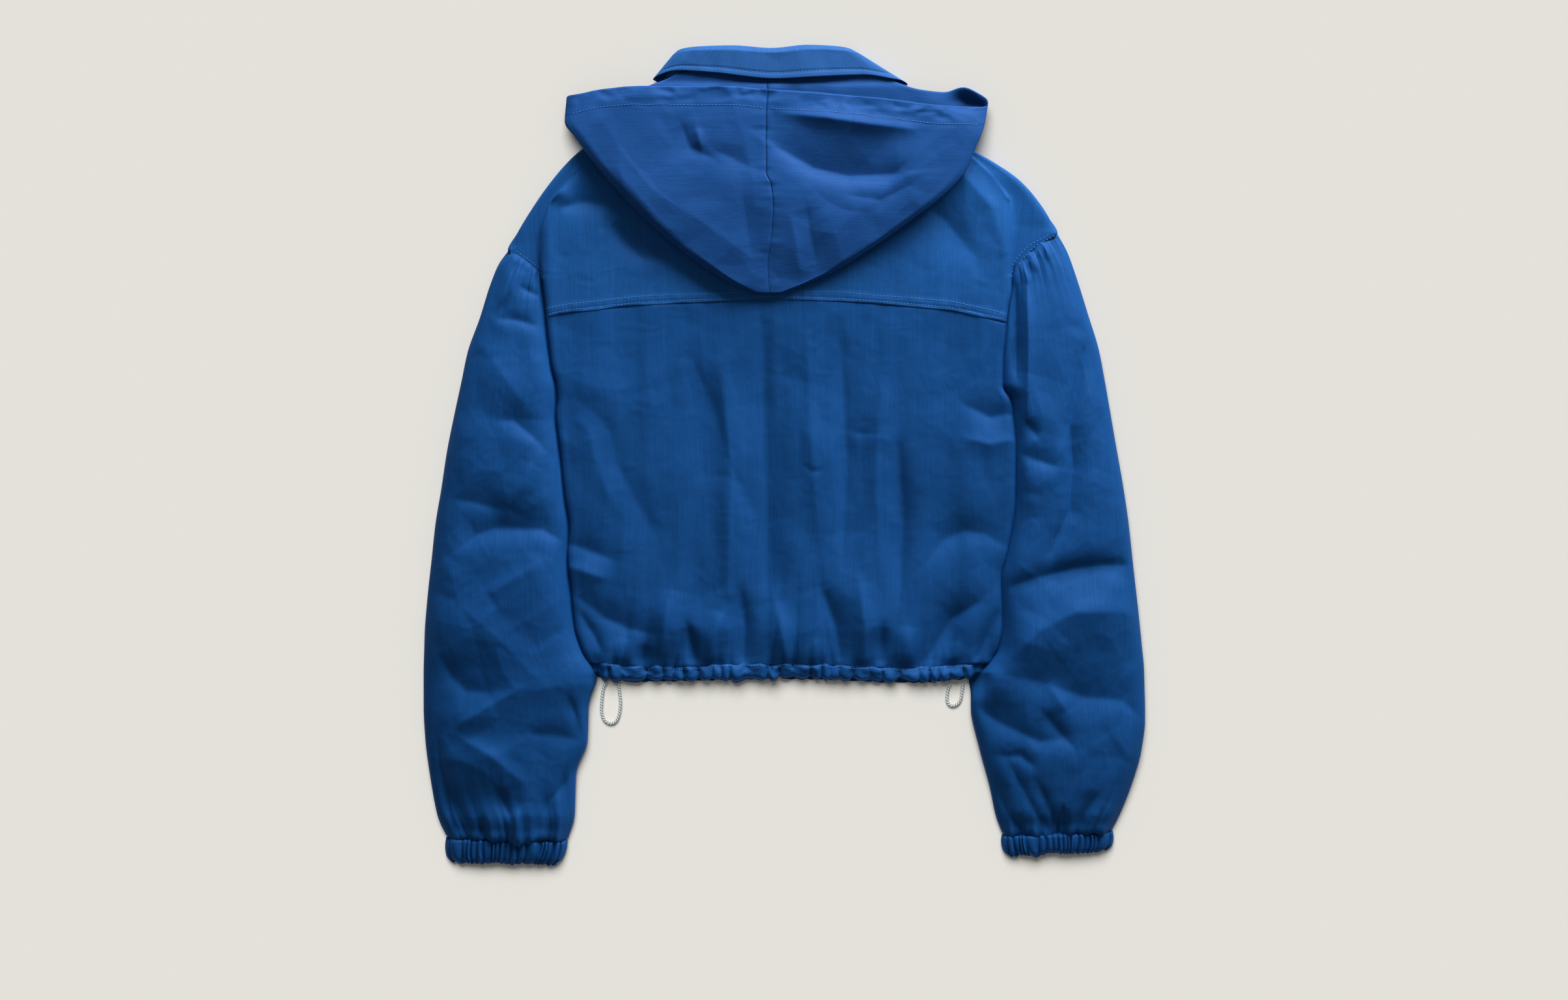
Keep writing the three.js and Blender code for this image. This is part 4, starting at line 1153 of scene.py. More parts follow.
@dataclass
class Front:
    """One front of the body, flat on the surface under the back."""

    side: Side
    rows: int = 120
    columns: int = 60
    inset: float = 1.2  # from the edge of the back
    hem_y: float = -184.0
    neck_y: float = 258.0  # at the zip
    thickness: float = FRONT_TOP - 0.35

    def paths(self) -> tuple[Array, Array]:
        """Its outer edge from hem to neck, and its zip edge and neckline from hem to the same end."""
        s = self.side.value
        left = self.side is Side.LEFT
        zip_edge = ZIP_X + s * 3
        outer = []
        for y, *sides in BODY_SIDE.rows[::-1]:
            if y < YOKE_ROWS.rows[0][1 if left else 3] - 2:
                inset = self.inset * (3 if y < -185 else 1)
                outer.append((sides[0 if left else 1] - s * inset, max(y, self.hem_y)))
        for r in YOKE_ROWS.rows[:-1]:
            outer.append((r[0 if left else 2] - s * self.inset, r[1 if left else 3]))
        neck = [(x, y) for x, y in NECK_FRONT.rows if (x - zip_edge) * s > 4]
        neck = neck[::-1] if left else neck
        outer.append(neck[-1])
        inner = [(zip_edge, y) for y in (self.hem_y, 0.0, self.neck_y)] + neck
        return np.array(outer, float), np.array(inner, float)

    def build(self, finish: bpy.types.Material) -> bpy.types.Object:
        """The front: straight rows between points at equal shares of the two paths' lengths.

        Args:
            finish: the cloth.

        Returns:
            The front.
        """
        share = np.linspace(0, 0.995, self.rows)
        edges = []
        for path in self.paths():
            far = run_of(path)
            edges.append(np.stack([np.interp(share * far[-1], far, path[:, k]) for k in (0, 1)], -1))
        u = np.linspace(0, 1, self.columns)[None, :, None]
        flat = mix(edges[1][:, None], edges[0][:, None], u)
        hem = HEM_SEAM.read("x", "y", flat[..., 0]) + 0.8
        flat[..., 1] = mix(flat[..., 1], hem, (1 - share[:, None]) ** 12)
        relief = 0.12 + 0.12 * crumple(flat[..., 0], flat[..., 1], 30, 5.0)
        grid = np.concatenate([flat, np.maximum(relief, 0.0)[..., None]], axis=-1)
        name = f"front_{self.side.word}"
        piece = cloth_wall(f"{name}_cloth", grid, -self.thickness, turned=self.side is Side.LEFT)
        flip_faces(piece)
        dress(piece, finish, "shell", name)
        return piece


def flip_faces(piece: bpy.types.Object) -> None:
    """Turn every face of a piece over."""
    piece.data.flip_normals()


@dataclass
class HemCasing:
    """The casing at the hem: a flattened ring, open at the zip and gathered by its elastic cord."""

    body: Body
    count: int = 29  # gathers on the back
    top_columns: int = 420
    under_columns: int = 110
    rows: int = 19
    lap: float = 1.3  # how far it lies over the body's end

    def grid(self) -> Array:
        """Outer face, i from the zip round the left side over the back to the zip, j seam to edge.

        Over the back each gather swells the casing and pulls its lower edge out, wider lobes
        hang a little lower, and towards that edge the cloth rolls under.
        """
        v = np.linspace(0, 1, self.rows)[:, None]
        t = np.linspace(0, 1, self.top_columns)[None]
        x = mix(HEM_LEFT + 4.5, HEM_RIGHT - 4.5, t) + 1.6 * soft_noise(t * 45, 0.0, 3.0)
        x = x + 1.8 * soft_noise(x / 8, v * 2, 13.0) * v
        span = hem_share(x)
        puff = gathers(span + 0.013 * soft_noise(x / 34, 0.0, 9.0), self.count, 1.4)
        lobe = soft_noise(x / 13, v * 1.5, 6.0)
        swell = np.sin(math.pi * np.clip(v * 1.05, 0, 1)) ** 0.7
        roll = smooth((v - 0.72) / 0.28)
        join = self.body.height(x, self.body.hem_y(x) + self.lap) + 0.15
        z = mix(join, 10.8, smooth(v / 0.5)) + (2.5 * puff + 1.2 + 1.7 * lobe) * swell - 4.2 * roll
        z = z + 1.1 * facets(x, 12 * v, 7, 8.0) * swell
        ends = smooth(np.minimum(t, 1 - t) / 0.03)
        depth = (HEM_DEPTH + self.lap) * (v - 0.1 * roll) * mix(0.75, 1.0, ends)
        sag = (2.3 * puff + 2.9 * lobe + 0.8) * v * ends
        y = HEM_SEAM.read("x", "y", x) + self.lap - depth - sag
        y = y + 1.5 * soft_noise(x / 7, 0.0, 17.0) * (1 - v) * ends
        z = mix(8.6, z, ends)
        top = points_of(x, y, z)
        turn = mix(math.radians(250), math.radians(100), np.linspace(0, 1, 9)[1:-1][None])
        w = np.linspace(0, 1, self.under_columns)[None]
        sides, under = [], []
        for s, edge in ((-1, HEM_LEFT), (1, HEM_RIGHT)):
            x = edge - s * 4 * (1 + np.cos(turn))
            y = HEM_SEAM.read("x", "y", x) - SEAM_GAP - HEM_DEPTH * 0.9 * v
            sides.append(points_of(x, y, 4.4 + 4.4 * np.sin(turn)))
            x = mix(ZIP_X + s * 3.1, edge - s * 7, w)
            pulled = gathers(hem_share(x), self.count, 2.2) * v * smooth(np.minimum(w, 1 - w) / 0.04)
            y = HEM_SEAM.read("x", "y", x) - SEAM_GAP - HEM_DEPTH * v - 0.8 * pulled
            under.append(points_of(x, y, 0.0))
        return np.concatenate(
            [under[0], sides[0], top, sides[1][:, ::-1], under[1][:, ::-1]], axis=1
        )

    def build(self, finish: bpy.types.Material, thread: bpy.types.Material) -> bpy.types.Object:
        """The casing with its row of stitches."""
        grid = self.grid()
        start = self.under_columns + 12
        line = at_distance(grid[:, start : start + self.top_columns - 10], STITCH_INSET)
        over_back = smooth((grid[0, :, 2] - 4) / 3)
        whole = tucked_under(grid, ((1.6, -1.4), (0.8, -0.6)), over_back)
        # where those rows stay put they are parted, so that no face is without an area
        whole[:2, :, 1] += np.array([[0.5], [0.25]]) * (1 - over_back)
        piece = cloth_wall("hem_cloth", whole, turned=True, floor=0.0)
        dress(piece, finish, "shell", "hem_casing")
        rows = dress(stitch_rows("hem_stitches", [line], sink=-0.15), thread, "shell")
        return piece


SLEEVE_COLUMNS = "outerX outerY innerX innerY height"
SLEEVE_ROWS = {
    Side.LEFT: Table(
        SLEEVE_COLUMNS,
        (
            (-243, 178.6, -214.6, 155.6, 9), (-251, 167, -213.9, 145, 12),
            (-259, 147, -212.3, 127, 15), (-267, 121, -210, 104, 18),
            (-278, 90, -205.8, 76, 20), (-283, 66, -202.3, 57, 22),
            (-289, 38, -203, 34, 23), (-296, 3, -199.2, 3, 24),
            (-301, -30, -195.8, -30, 24), (-306, -60, -192, -62, 24),
            (-309.5, -92, -192.6, -92, 24), (-313, -124, -189.3, -126, 24),
            (-315.5, -155, -186, -155, 24), (-316, -172, -180, -172, 24),
            (-316.5, -190, -170.5, -188, 23), (-316.5, -206, -171, -203, 23),
            (-316.5, -222, -171.5, -218, 23), (-315, -250, -172.5, -250, 22),
            (-311, -281, -182.5, -280, 20), (-304, -318, -184, -316, 16),
            (-297, -334, -189.5, -335.5, 12.5),
        ),
    ),
    Side.RIGHT: Table(
        SLEEVE_COLUMNS,
        (
            (240, 193.6, 201.6, 156.6, 9), (248, 179, 201, 145, 12),
            (257, 154, 198, 127, 15), (266, 125, 195.6, 104, 18),
            (276, 92, 194, 78, 20), (281, 66, 194, 63, 21),
            (285, 43, 201.6, 48, 22), (291, 8, 204.3, 10, 23),
            (297, -26, 204.3, -26, 24), (302, -60, 202.6, -60, 24),
            (305.5, -92, 195.8, -92, 24), (307.5, -110, 192.4, -110, 24),
            (311, -141, 193.3, -143, 24), (313.5, -166, 191.6, -166, 24),
            (315.5, -187, 184.5, -181, 24), (316, -204, 171, -194, 24),
            (316.5, -222, 166.5, -207, 24), (316.5, -234, 163.5, -224, 24),
            (313, -261, 171, -258, 23), (303.5, -293, 180.2, -292, 20),
            (294, -316.5, 185.5, -316.5, 16), (288, -328.5, 191, -331.5, 12.5),
        ),
    ),
}
SLEEVE_CREASES = {
    Side.LEFT: Creases((
        (((-231, 164), (-240, 146), (-250, 130)), 6, 1.9, 0.0),
        (((-232, 148), (-224, 143), (-215, 139)), 5, -1.9, -0.15),
        (((-249, 119), (-234, 118), (-218, 113)), 6, -2.0, -0.15),
        (((-262, 92), (-240, 60), (-226, 44)), 15.5, 1.8, 0.2),
        (((-249, 30), (-236, 30), (-222, 18), (-206, 2)), 10, -2.8, -0.3),
        (((-219, -8), (-230, -28), (-241, -47)), 14.5, 2.8, -0.3),
        (((-286, -39), (-266, -43), (-244, -49)), 9, -1.8, -0.2),
        (((-280, -79), (-268, -69), (-252, -64), (-232, -64), (-211, -65), (-193, -76)), 16, -5.0, -0.3),
        (((-258, -122), (-234, -108), (-210, -94)), 17, 2.6, 0.35),
        (((-293, -100), (-284, -131), (-250, -160), (-206, -206)), 21.5, 2.4, 0.2),
        (((-302, -174), (-290, -194), (-278, -206), (-256, -208)), 13.5, -3.0, -0.3),
        (((-286, -237), (-258, -220), (-230, -204)), 11, 2.3, 0.3),
        (((-286, -246), (-256, -263), (-228, -287)), 13.5, 3.0, 0.3),
        (((-226, -243), (-198, -246), (-172, -252)), 14.5, -2.6, 0.3),
        (((-189, -211), (-181, -232), (-176, -252)), 6, -2.2, 0.0),
        (((-183, -276), (-206, -304), (-219, -334)), 8, -3.0, 0.2),
        (((-250, -291), (-246, -303), (-239, -317)), 8, -3.2, -0.2),
        (((-293, -290), (-284, -312), (-273, -334)), 8, -2.6, 0.15),
        (((-263, -318), (-267, -335)), 4, -2.4, 0.0),
        (((-304, -248), (-296, -300), (-289, -334)), 6, -2.2, 0.15),
        (((-232, -310), (-236, -335)), 4, 2.0, 0.0),
    )),
    Side.RIGHT: Creases((
        (((212, 151), (213, 92), (212, 33)), 6, 3.3, -0.15),
        (((203, 146), (203, 68)), 6, -5.0, 0.0),
        (((227, 185), (231, 170)), 3.5, 1.7, 0.0),
        (((216, 176), (221, 160)), 3.5, 1.6, 0.0),
        (((209, 165), (214, 150)), 3.5, 1.5, 0.0),
        (((262, 92), (256, 60), (249, 26), (252, -10), (249, -49), (233, -85)), 10, -5.2, -0.2),
        (((205, 1), (222, -5), (240, -11)), 11, -3.0, -0.3),
        (((211, 29), (217, 21), (222, 14)), 6, -2.2, 0.0),
        (((196, -116), (222, -107), (250, -100), (278, -96), (303, -97)), 13, -4.4, 0.3),
        (((198, -180), (222, -154), (254, -138), (287, -137), (309, -142)), 22, 4.0, 0.25),
        (((196, -193), (226, -199), (261, -211), (295, -215), (316, -232)), 15.5, -3.2, -0.1),
        (((230, -199), (238, -212), (246, -224)), 9, 2.4, 0.0),
        (((227, -226), (240, -242), (253, -256)), 8, -2.8, 0.15),
        (((161, -213), (176, -226), (192, -236), (222, -250), (238, -248)), 13.5, -3.4, -0.3),
        (((185, -263), (207, -263), (220, -274)), 6, -1.6, 0.0),
        (((196, -269), (222, -317), (243, -334)), 8, -2.4, 0.2),
        (((222, -287), (237, -321), (247, -336)), 6, -2.8, 0.15),
        (((179, -282), (198, -317), (213, -334)), 8, -2.6, 0.2),
        (((275, -295), (261, -317), (260, -334)), 8, -2.8, 0.2),
        (((243, -308), (246, -332)), 4, -2.4, 0.0),
        (((285, -240), (300, -262), (296, -290)), 15.5, 1.8, 0.0),
    )),
}


@dataclass
class Sleeve:
    """A full sleeve lying on the surface: a flattened tube, gathered at its head and at the cuff."""

    side: Side
    top_columns: int = 130
    under_columns: int = 24
    rows: int = 280
    depth: float = 1.5  # how much the creases are deepened
    tuck: float = 9.0  # how far the head goes on under the yoke
    overlap: float = 3.5  # how far the body's folded edge lies over the sleeve
    hem_overlap: float = 3.0  # how much further the end of the hem does
    groove: float = 11.6  # height of the sleeve where the body's folded edge meets it
    foot: float = 0.24  # height of a ring's edge, as a share of its whole height
    sag_at: float = 0.62  # where along the cuff the sleeve hangs over it most

    def grid(self) -> Array:
        """Outer face: j from the armhole to the cuff, i over the top from the outer edge and back.

        A ring's top is its foot plus a dome: sqrt(1 - |across|^2.5), or 1 - 0.8 |across|^5 where
        the body's folded edge lies over it. It carries creases, facets and a fine crumple, is
        gathered at both ends and hangs a little over the cuff.
        """
        table = SLEEVE_ROWS[self.side]
        middle_x = (table.column("outerX") + table.column("innerX")) / 2
        middle_y = (table.column("outerY") + table.column("innerY")) / 2
        far = run_of(np.stack([middle_x, middle_y], axis=-1))
        even = np.interp(np.linspace(0, far[-1], self.rows), far, np.arange(len(far)))
        at = table.at_rows(even[:, None])
        down = np.linspace(0, far[-1], self.rows)[:, None]
        up = far[-1] - down
        beside = smooth((163 - at["innerY"]) / 8) * smooth((at["innerY"] + 224) / 26)
        under_hem = bell((at["innerY"] + 195) / 11)
        lap = self.overlap + self.hem_overlap * under_hem
        at["innerX"] = at["innerX"] - self.side.value * lap * beside
        t = np.linspace(0, 1, self.top_columns)
        across = (0.5 * -np.cos(math.pi * t) + 0.5 * (2 * t - 1))[None]
        share = (across + 1) / 2
        x, y = mix(at["outerX"], at["innerX"], share), mix(at["outerY"], at["innerY"], share)
        away = np.abs(across)
        free = np.sqrt(np.maximum(0.0, 1 - away**2.5))
        tucked = 1 - 0.8 * away**5
        dome = mix(free, tucked, beside * smooth(across / 0.5))
        foot = self.foot * at["height"]
        fade = smooth((1 - away) / 0.26)
        creases = self.depth * SLEEVE_CREASES[self.side].height(x, y) * smooth((1 - away) / 0.22)
        fine = 1.8 * facets(x, y, 44, 31.0 + self.side.value) + 0.5 * facets(x, y, 19, 35.0)
        fine = fine + 0.15 * crumple(x, y, 12, 41.0)
        head = 0.4 * gathers(share, 11, 2.0 + self.side.value) * np.exp(-down / 8)
        head = head + 0.9 * gathers(share + 0.0008 * down, 6, 5.0) * np.exp(-down / 22)
        wrist = 0.5 * gathers(share, 18, 3.0) * np.exp(-up / 7)
        wrist = wrist + 1.7 * gathers(share + 0.0016 * up, 6, 7.0) * np.exp(-up / 26)
        puff = 3.0 * bell((up - 16) / 14) + 1.6 * bell((up - 3) / 4)
        z = foot + (at["height"] - foot) * dome + (puff + fine) * fade + creases
        z = z + (1.2 * head * smooth(down / 2 + 0.3) + 1.2 * wrist * smooth(up / 2 + 0.3)) * fade
        s, name = self.side.value, self.side.word
        hem_end = HEM_RIGHT if s > 0 else HEM_LEFT
        edge_x = np.where(y < -190, hem_end, BODY_SIDE.read("y", name, y))
        outside = (x - edge_x) * s
        cap = self.groove + np.where(outside > 0, 1.2, 0.9) * outside
        capped = 0.5 * (z + cap - np.sqrt((z - cap) ** 2 + 4.0))
        z = mix(z, capped, smooth((y + 218) / 24) * smooth((158 - y) / 8))
        z = np.maximum(z, 1.2)
        droop = 2.6 + 1.8 * soft_noise(share * 9, 0.0, 27.0) + 1.2 * wrist
        droop = droop + 3.2 * bell((share - self.sag_at) / 0.1)
        y = y - droop * np.exp(-up / 7) * smooth((1 - away) / 0.1)
        return self.closed(points_of(x, y, z), at)

    def closed(self, top: Array, at: dict[str, Array]) -> Array:
        """Whole rings, and before them rows that go on under the yoke and grow flatter.

        Args:
            top: the upper face, shape (rows, top_columns, 3).
            at: the table's columns at each row.

        Returns:
            Points in mm, shape (rows + 4, top_columns + under_columns, 3).
        """
        foot = self.foot * at["height"]
        w = np.linspace(1, -1, self.under_columns + 2)[1:-1][None]
        w = np.sign(w) * (1 - (1 - np.abs(w)) ** 1.4)
        under_x = mix(at["outerX"], at["innerX"], (w + 1) / 2)
        under_y = mix(at["outerY"], at["innerY"], (w + 1) / 2)
        under_z = foot * smooth((np.abs(w) - 0.9) / 0.12) ** 1.5
        ring = np.concatenate([top, points_of(under_x, under_y, under_z)], axis=1)
        seam = ring[0, 0] - ring[0, self.top_columns - 1]
        into_body = np.array([-seam[1], seam[0], 0.0]) / np.hypot(seam[0], seam[1])
        into_body = into_body * np.sign(into_body[1])
        further = np.linspace(1, 0, 5)[:-1, None]
        lowered = ring[:1] * points_of(1.0, 1.0, 1 - 0.5 * further)
        return np.concatenate([lowered + further[..., None] * into_body * self.tuck, ring], axis=0)

    def build(self, finish: bpy.types.Material) -> bpy.types.Object:
        """The sleeve as a ring of cloth.

        Args:
            finish: the cloth.

        Returns:
            The sleeve.
        """
        name = f"sleeve_{self.side.word}"
        turned = self.side is Side.LEFT
        piece = cloth_wall(f"{name}_cloth", self.grid(), ring=True, turned=turned, floor=0.0)
        dress(piece, finish, "shell", name)
        return piece


CUFFS = {
    Side.LEFT: ((-296.5, -335), (-190.5, -337), (-294.5, -357.5), (-197.5, -359)),
    Side.RIGHT: ((288, -329.5), (191, -333), (285.5, -347), (194.5, -352)),
}


@dataclass
class Cuff:
    """A short cuff gathered all round by the elastic inside it."""

    side: Side
    height: float = 12.0
    ribs: int = 19
    top_columns: int = 260
    under_columns: int = 60
    rows: int = 19

    def grid(self) -> Array:
        """Outer face: j from the sleeve to the cuff's end, i over the top and back under."""
        top_outer, top_inner, end_outer, end_inner = (np.array(p, float) for p in CUFFS[self.side])
        v = np.linspace(0, 1, self.rows)[:, None]
        t = np.linspace(0, 1, self.top_columns)[None]
        across = 0.35 * -np.cos(math.pi * t) + 0.65 * (2 * t - 1)
        share = (across + 1) / 2
        bulge = 2.2 * np.sin(math.pi * np.clip(v, 0, 1)) ** 0.8 - 2.6 * smooth((v - 0.72) / 0.28) ** 2

        def place(at: Array) -> tuple[Array, Array]:
            """x and y at a share of the way from the outer to the inner edge."""
            outer = mix(top_outer[None], end_outer[None], v)
            inner = mix(top_inner[None], end_inner[None], v)
            x, y = (mix(outer[:, [k]], inner[:, [k]], at) for k in (0, 1))
            return x + self.side.value * bulge * (1 - 2 * at), y

        x, y = place(share)
        uneven = share + 0.022 * np.sin(11 * share + 2) + 0.012 * np.sin(31 * share)
        uneven = uneven + 0.002 * np.sin(5 * v + 20 * share)
        rib = gathers(uneven, self.ribs, 3.0)
        swell = np.sin(math.pi * np.clip(0.12 + 0.86 * v, 0, 1)) ** 0.6
        inside = smooth((1 - np.abs(across)) / 0.06)
        dome = np.sqrt(np.maximum(0.0, 1 - np.abs(across) ** 3))
        foot = 0.3 * self.height
        tucked = 3.2 * smooth((0.16 - v) / 0.16)
        z = foot + (self.height - foot) * dome
        z = z + (2.1 * rib * (0.6 + 0.4 * swell) + 1.8 * swell - 0.4 - tucked) * inside
        z = z + 0.35 * facets(x, y / 2, 6, 12.0) * inside - 3.0 * smooth((v - 0.78) / 0.22) * inside
        hang = 0.9 * rib + 1.6 * soft_noise(share * 7, 0.0, 19.0 + self.side.value)
        y = y - hang * v * inside
        top = points_of(x, y, z)
        w = np.linspace(1, -1, self.under_columns + 2)[1:-1][None]
        under_x, under_y = place((w + 1) / 2)
        under_z = foot * smooth((np.abs(w) - 0.93) / 0.09) ** 1.5
        return np.concatenate([top, points_of(under_x, under_y, under_z)], axis=1)

    def build(self, finish: bpy.types.Material) -> bpy.types.Object:
        """The cuff as a ring of cloth.

        Args:
            finish: the cloth.

        Returns:
            The cuff.
        """
        name = f"cuff_{self.side.word}"
        turned = self.side is Side.LEFT
        piece = cloth_wall(f"{name}_cloth", self.grid(), 1.1, ring=True, turned=turned, floor=0.0)
        dress(piece, finish, "shell", name)
        return piece


HOOD_SEAM = Table(
    "y x",
    ((320, -14.5), (292, -16), (246, -16), (236, -12), (218, -10), (194, -11), (166, -14.5), (138, -13)),
)
HOOD_EDGE = {
    Side.LEFT: Table(
        "v x y",
        (
            (0, -191, 312), (0.1, -192.5, 292), (0.2, -183, 277), (0.34, -160, 247),
            (0.48, -134, 219), (0.62, -106, 193), (0.77, -75, 169), (0.9, -43, 149.5),
            (1, -23, 141.5),
        ),
    ),
    Side.RIGHT: Table(
        "v x y",
        (
            (0, 179, 309), (0.1, 175.5, 290), (0.2, 168, 270), (0.31, 157, 246),
            (0.44, 137, 225), (0.58, 109, 204), (0.73, 74, 180), (0.88, 38, 158.5),
            (1, -3.5, 141.5),
        ),
    ),
}
HOOD_MOUTH = Table(
    "x y",
    (
        (-191, 314), (-181, 315.5), (-160, 319.5), (-126, 322), (-52, 322), (-13, 319),
        (20, 317), (95, 310), (146, 304.5), (172, 304), (179, 306),
    ),
)
HOOD_BASE = Table(
    "x y",
    (
        (-191, 313), (-160, 317), (-126, 321), (-108, 327), (-90, 335), (-70, 338), (-4, 340),
        (60, 338), (84, 334), (98, 326), (120, 319.5), (140, 317.5), (156, 321.5), (170, 316),
        (179, 311),
    ),
)
HOOD_LOFT = Table(
    "v middle edge",
    ((0, 6.5, 6), (0.15, 8.9, 7.5), (0.4, 11.2, 9.6), (0.7, 8.0, 7.2), (1, 2.5, 2.5)),
)
SHOULDER_EDGES = {  # x and y at the neck, then x and y further out
    Side.LEFT: (-107.0, 324.0, -188.0, 260.0),
    Side.RIGHT: (101.0, 320.0, 186.0, 256.0),
}
HOOD_CREASES = Creases((
    (((-158, 290), (-140, 262), (-117, 232), (-66, 198), (-24, 168)), 18, 1.4, 0.2),
    (((-90, 288), (-82, 268), (-62, 258)), 10, -2.2, 0.2),
    (((-77, 285), (-72, 266)), 5, 1.6, 0.0),
    (((-60, 266), (-40, 256), (-18, 246)), 15.5, -2.0, -0.25),
    (((-4, 268), (26, 251), (56, 244), (100, 246)), 19, -6.2, -0.5),
    (((107, 255), (90, 240), (68, 236)), 9, -1.6, 0.0),
    (((1, 298), (36, 294), (73, 288), (112, 284)), 11, 4.2, -0.2),
    (((12, 178), (61, 211), (110, 244), (158, 278)), 20, 1.2, 0.0),
    (((19, 215), (23, 190), (28, 166)), 11, -1.9, 0.2),
    (((6, 206), (10, 184), (13, 162)), 7.5, 1.0, 0.0),
    (((-36, 226), (-32, 200), (-28, 172)), 13, -1.3, -0.2),
    (((56, 226), (84, 222), (112, 236)), 10, -1.7, -0.2),
))


@dataclass
class Hood:
    """The hood spread over the back: two halves, each folded along its side, sewn down the middle."""

    body: Body
    top_columns: int = 130
    under_columns: int = 54
    fold_columns: int = 10
    rows: int = 150
    casing: float = 17.0  # from the mouth to the casing's stitches
    depth: float = 1.6  # how much the creases are deepened
    slot_height: float = 9.9  # the lower layer's top inside the folded collar
    lip_at: float = 163.0  # x where the mouth's corner stands open
    lip_height: float = 10.5
    mouth_y: float = 319.0  # where the centre seam starts
    point_y: float = 141.0  # where it ends

    def beneath(self, x: Array, y: Array) -> Array:
        """What the hood rests on: the yoke, and beyond the shoulder a slope down."""
        side = np.where(x < 0, -1.0, 1.0)
        pairs = zip(SHOULDER_EDGES[Side.LEFT], SHOULDER_EDGES[Side.RIGHT])
        x1, y1, x2, y2 = (np.where(x < 0, left, right) for left, right in pairs)
        length = np.hypot(x2 - x1, y2 - y1)
        out = -((x - x1) * (y2 - y1) - (y - y1) * (x2 - x1)) * side / length
        highest = BODY_HEIGHT.read("y", "middle", y) + 2.2
        edge = sideways(x) * smooth((262 - y) / 60) * 1.2
        return highest + edge - 5.5 * smooth((out - 4) / 34)

    def grid(self, side: Side) -> Array:
        """Outer face: j from the mouth to the point, i from the centre seam over the fold and back.

        The loft above what the hood rests on, with the listed creases, two sizes of
        facets, small wrinkles between the casing's stitches and the mouth, and the pull of the
        centre seam. The lower layer runs on into the folded collar, and its rim stands up at one
        corner.
        """
        s = side.value
        edges = HOOD_EDGE[side]
        v = np.linspace(0, 1, self.rows)[:, None]
        edge_x, edge_y = edges.read("v", "x", v), edges.read("v", "y", v)
        centre_y = mix(self.mouth_y, self.point_y, v**0.92)
        centre_x = HOOD_SEAM.read("y", "x", centre_y) + s * 0.02
        loft = {k: HOOD_LOFT.read("v", k, v) for k in ("middle", "edge")}
        straight = edges.rows[0][2]

        def place(t: Array, rim: Table) -> tuple[Array, Array]:
            """x and y at share t from the centre seam to the fold."""
            x = mix(centre_x, edge_x, t)
            line = mix(centre_y, edge_y, t)
            bend = rim.read("x", "y", x) - mix(self.mouth_y, straight, t)
            return x, line + bend * (1 - v) ** 4

        t = (np.linspace(0, 1, self.top_columns) ** 0.95 * 0.985)[None]
        x, y = place(t, HOOD_MOUTH)
        height = mix(loft["middle"], loft["edge"], t) + 2.4
        crown = np.sqrt(np.maximum(0.0, 1 - (np.clip(t - 0.94, 0, 1) / 0.06) ** 2.2)) * 0.5 + 0.5
        inside = smooth((1 - t) / 0.1) * smooth((1 - v) / 0.1)
        from_mouth = np.hypot(x - x[:1], y - y[:1])
        casing = smooth((self.casing + 1 - from_mouth) / 2)
        relief = self.depth * HOOD_CREASES.height(x, y) * smooth(v / 0.12) * inside
        relief = relief + (1.9 * facets(x, y, 46, 51.0) + 0.5 * facets(x, y, 19, 61.0)) * inside
        wrinkled = smooth((self.casing - 1 - from_mouth) / 8)
        relief = relief + 1.1 * facets(x * 0.8, y * 1.5, 9, 71.0) * wrinkled * inside
        relief = relief - 0.08 * bell((from_mouth - self.casing) / 0.9) + 0.15 * casing
        seam = np.abs(x - centre_x)
        pull = 0.4 * np.exp(-seam / 1.4) + 0.35 * np.exp(-seam / 14)
        relief = relief - pull * smooth(v / 0.05)
        relief = relief + 0.55 * soft_noise(y / 4.5, x / 25, 5.0) * np.exp(-seam / 6)
        z = self.beneath(x, y) + LAYER_GAP + height * crown + relief
        top = points_of(x, y, z)
        w = np.linspace(0.985, 0, self.under_columns)[None]
        under_x, under_y = place(w, HOOD_BASE)
        under_z = self.beneath(under_x, under_y) + LAYER_GAP
        mouth = smooth((0.22 - v) / 0.22) * smooth((328 - under_y) / 8)
        folds = 1.8 * soft_noise(under_x / 9, under_y / 40, 44.0) * np.exp(-np.abs(under_x + 8) / 45)
        under_z = under_z + (0.6 + folds + 0.6 * facets(under_x, under_y, 18, 81.0)) * mouth
        under_z = mix(under_z, self.slot_height, smooth((under_y - 322) / 6))
        lip = bell((under_x - self.lip_at) / 13) * smooth((0.05 - v) / 0.05)
        under = points_of(under_x, under_y, under_z + self.lip_height * lip)
        return np.concatenate([top, self.fold(top[:, -1:], under[:, :1], side), under], axis=1)

    def fold(self, head: Array, foot: Array, side: Side) -> Array:
        """Points round the fold along one side.

        Args:
            head: where the upper layer ends, shape (rows, 1, 3).
            foot: where the lower layer starts, the same shape.
            side: which side of the hood.

        Returns:
            Points in mm, shape (rows, fold_columns, 3).
        """
        turn = np.linspace(0, math.pi, self.fold_columns + 2)[1:-1][None]
        middle = (foot + head) / 2
        outward = np.array([side.value * 0.8, -0.35, 0.0])
        half = (head - foot) / 2
        bulge = np.linalg.norm(half, axis=2, keepdims=True)
        out = np.sin(turn)[..., None] * np.minimum(bulge, 3.0) * outward
        return middle + half * np.cos(turn)[..., None] + out

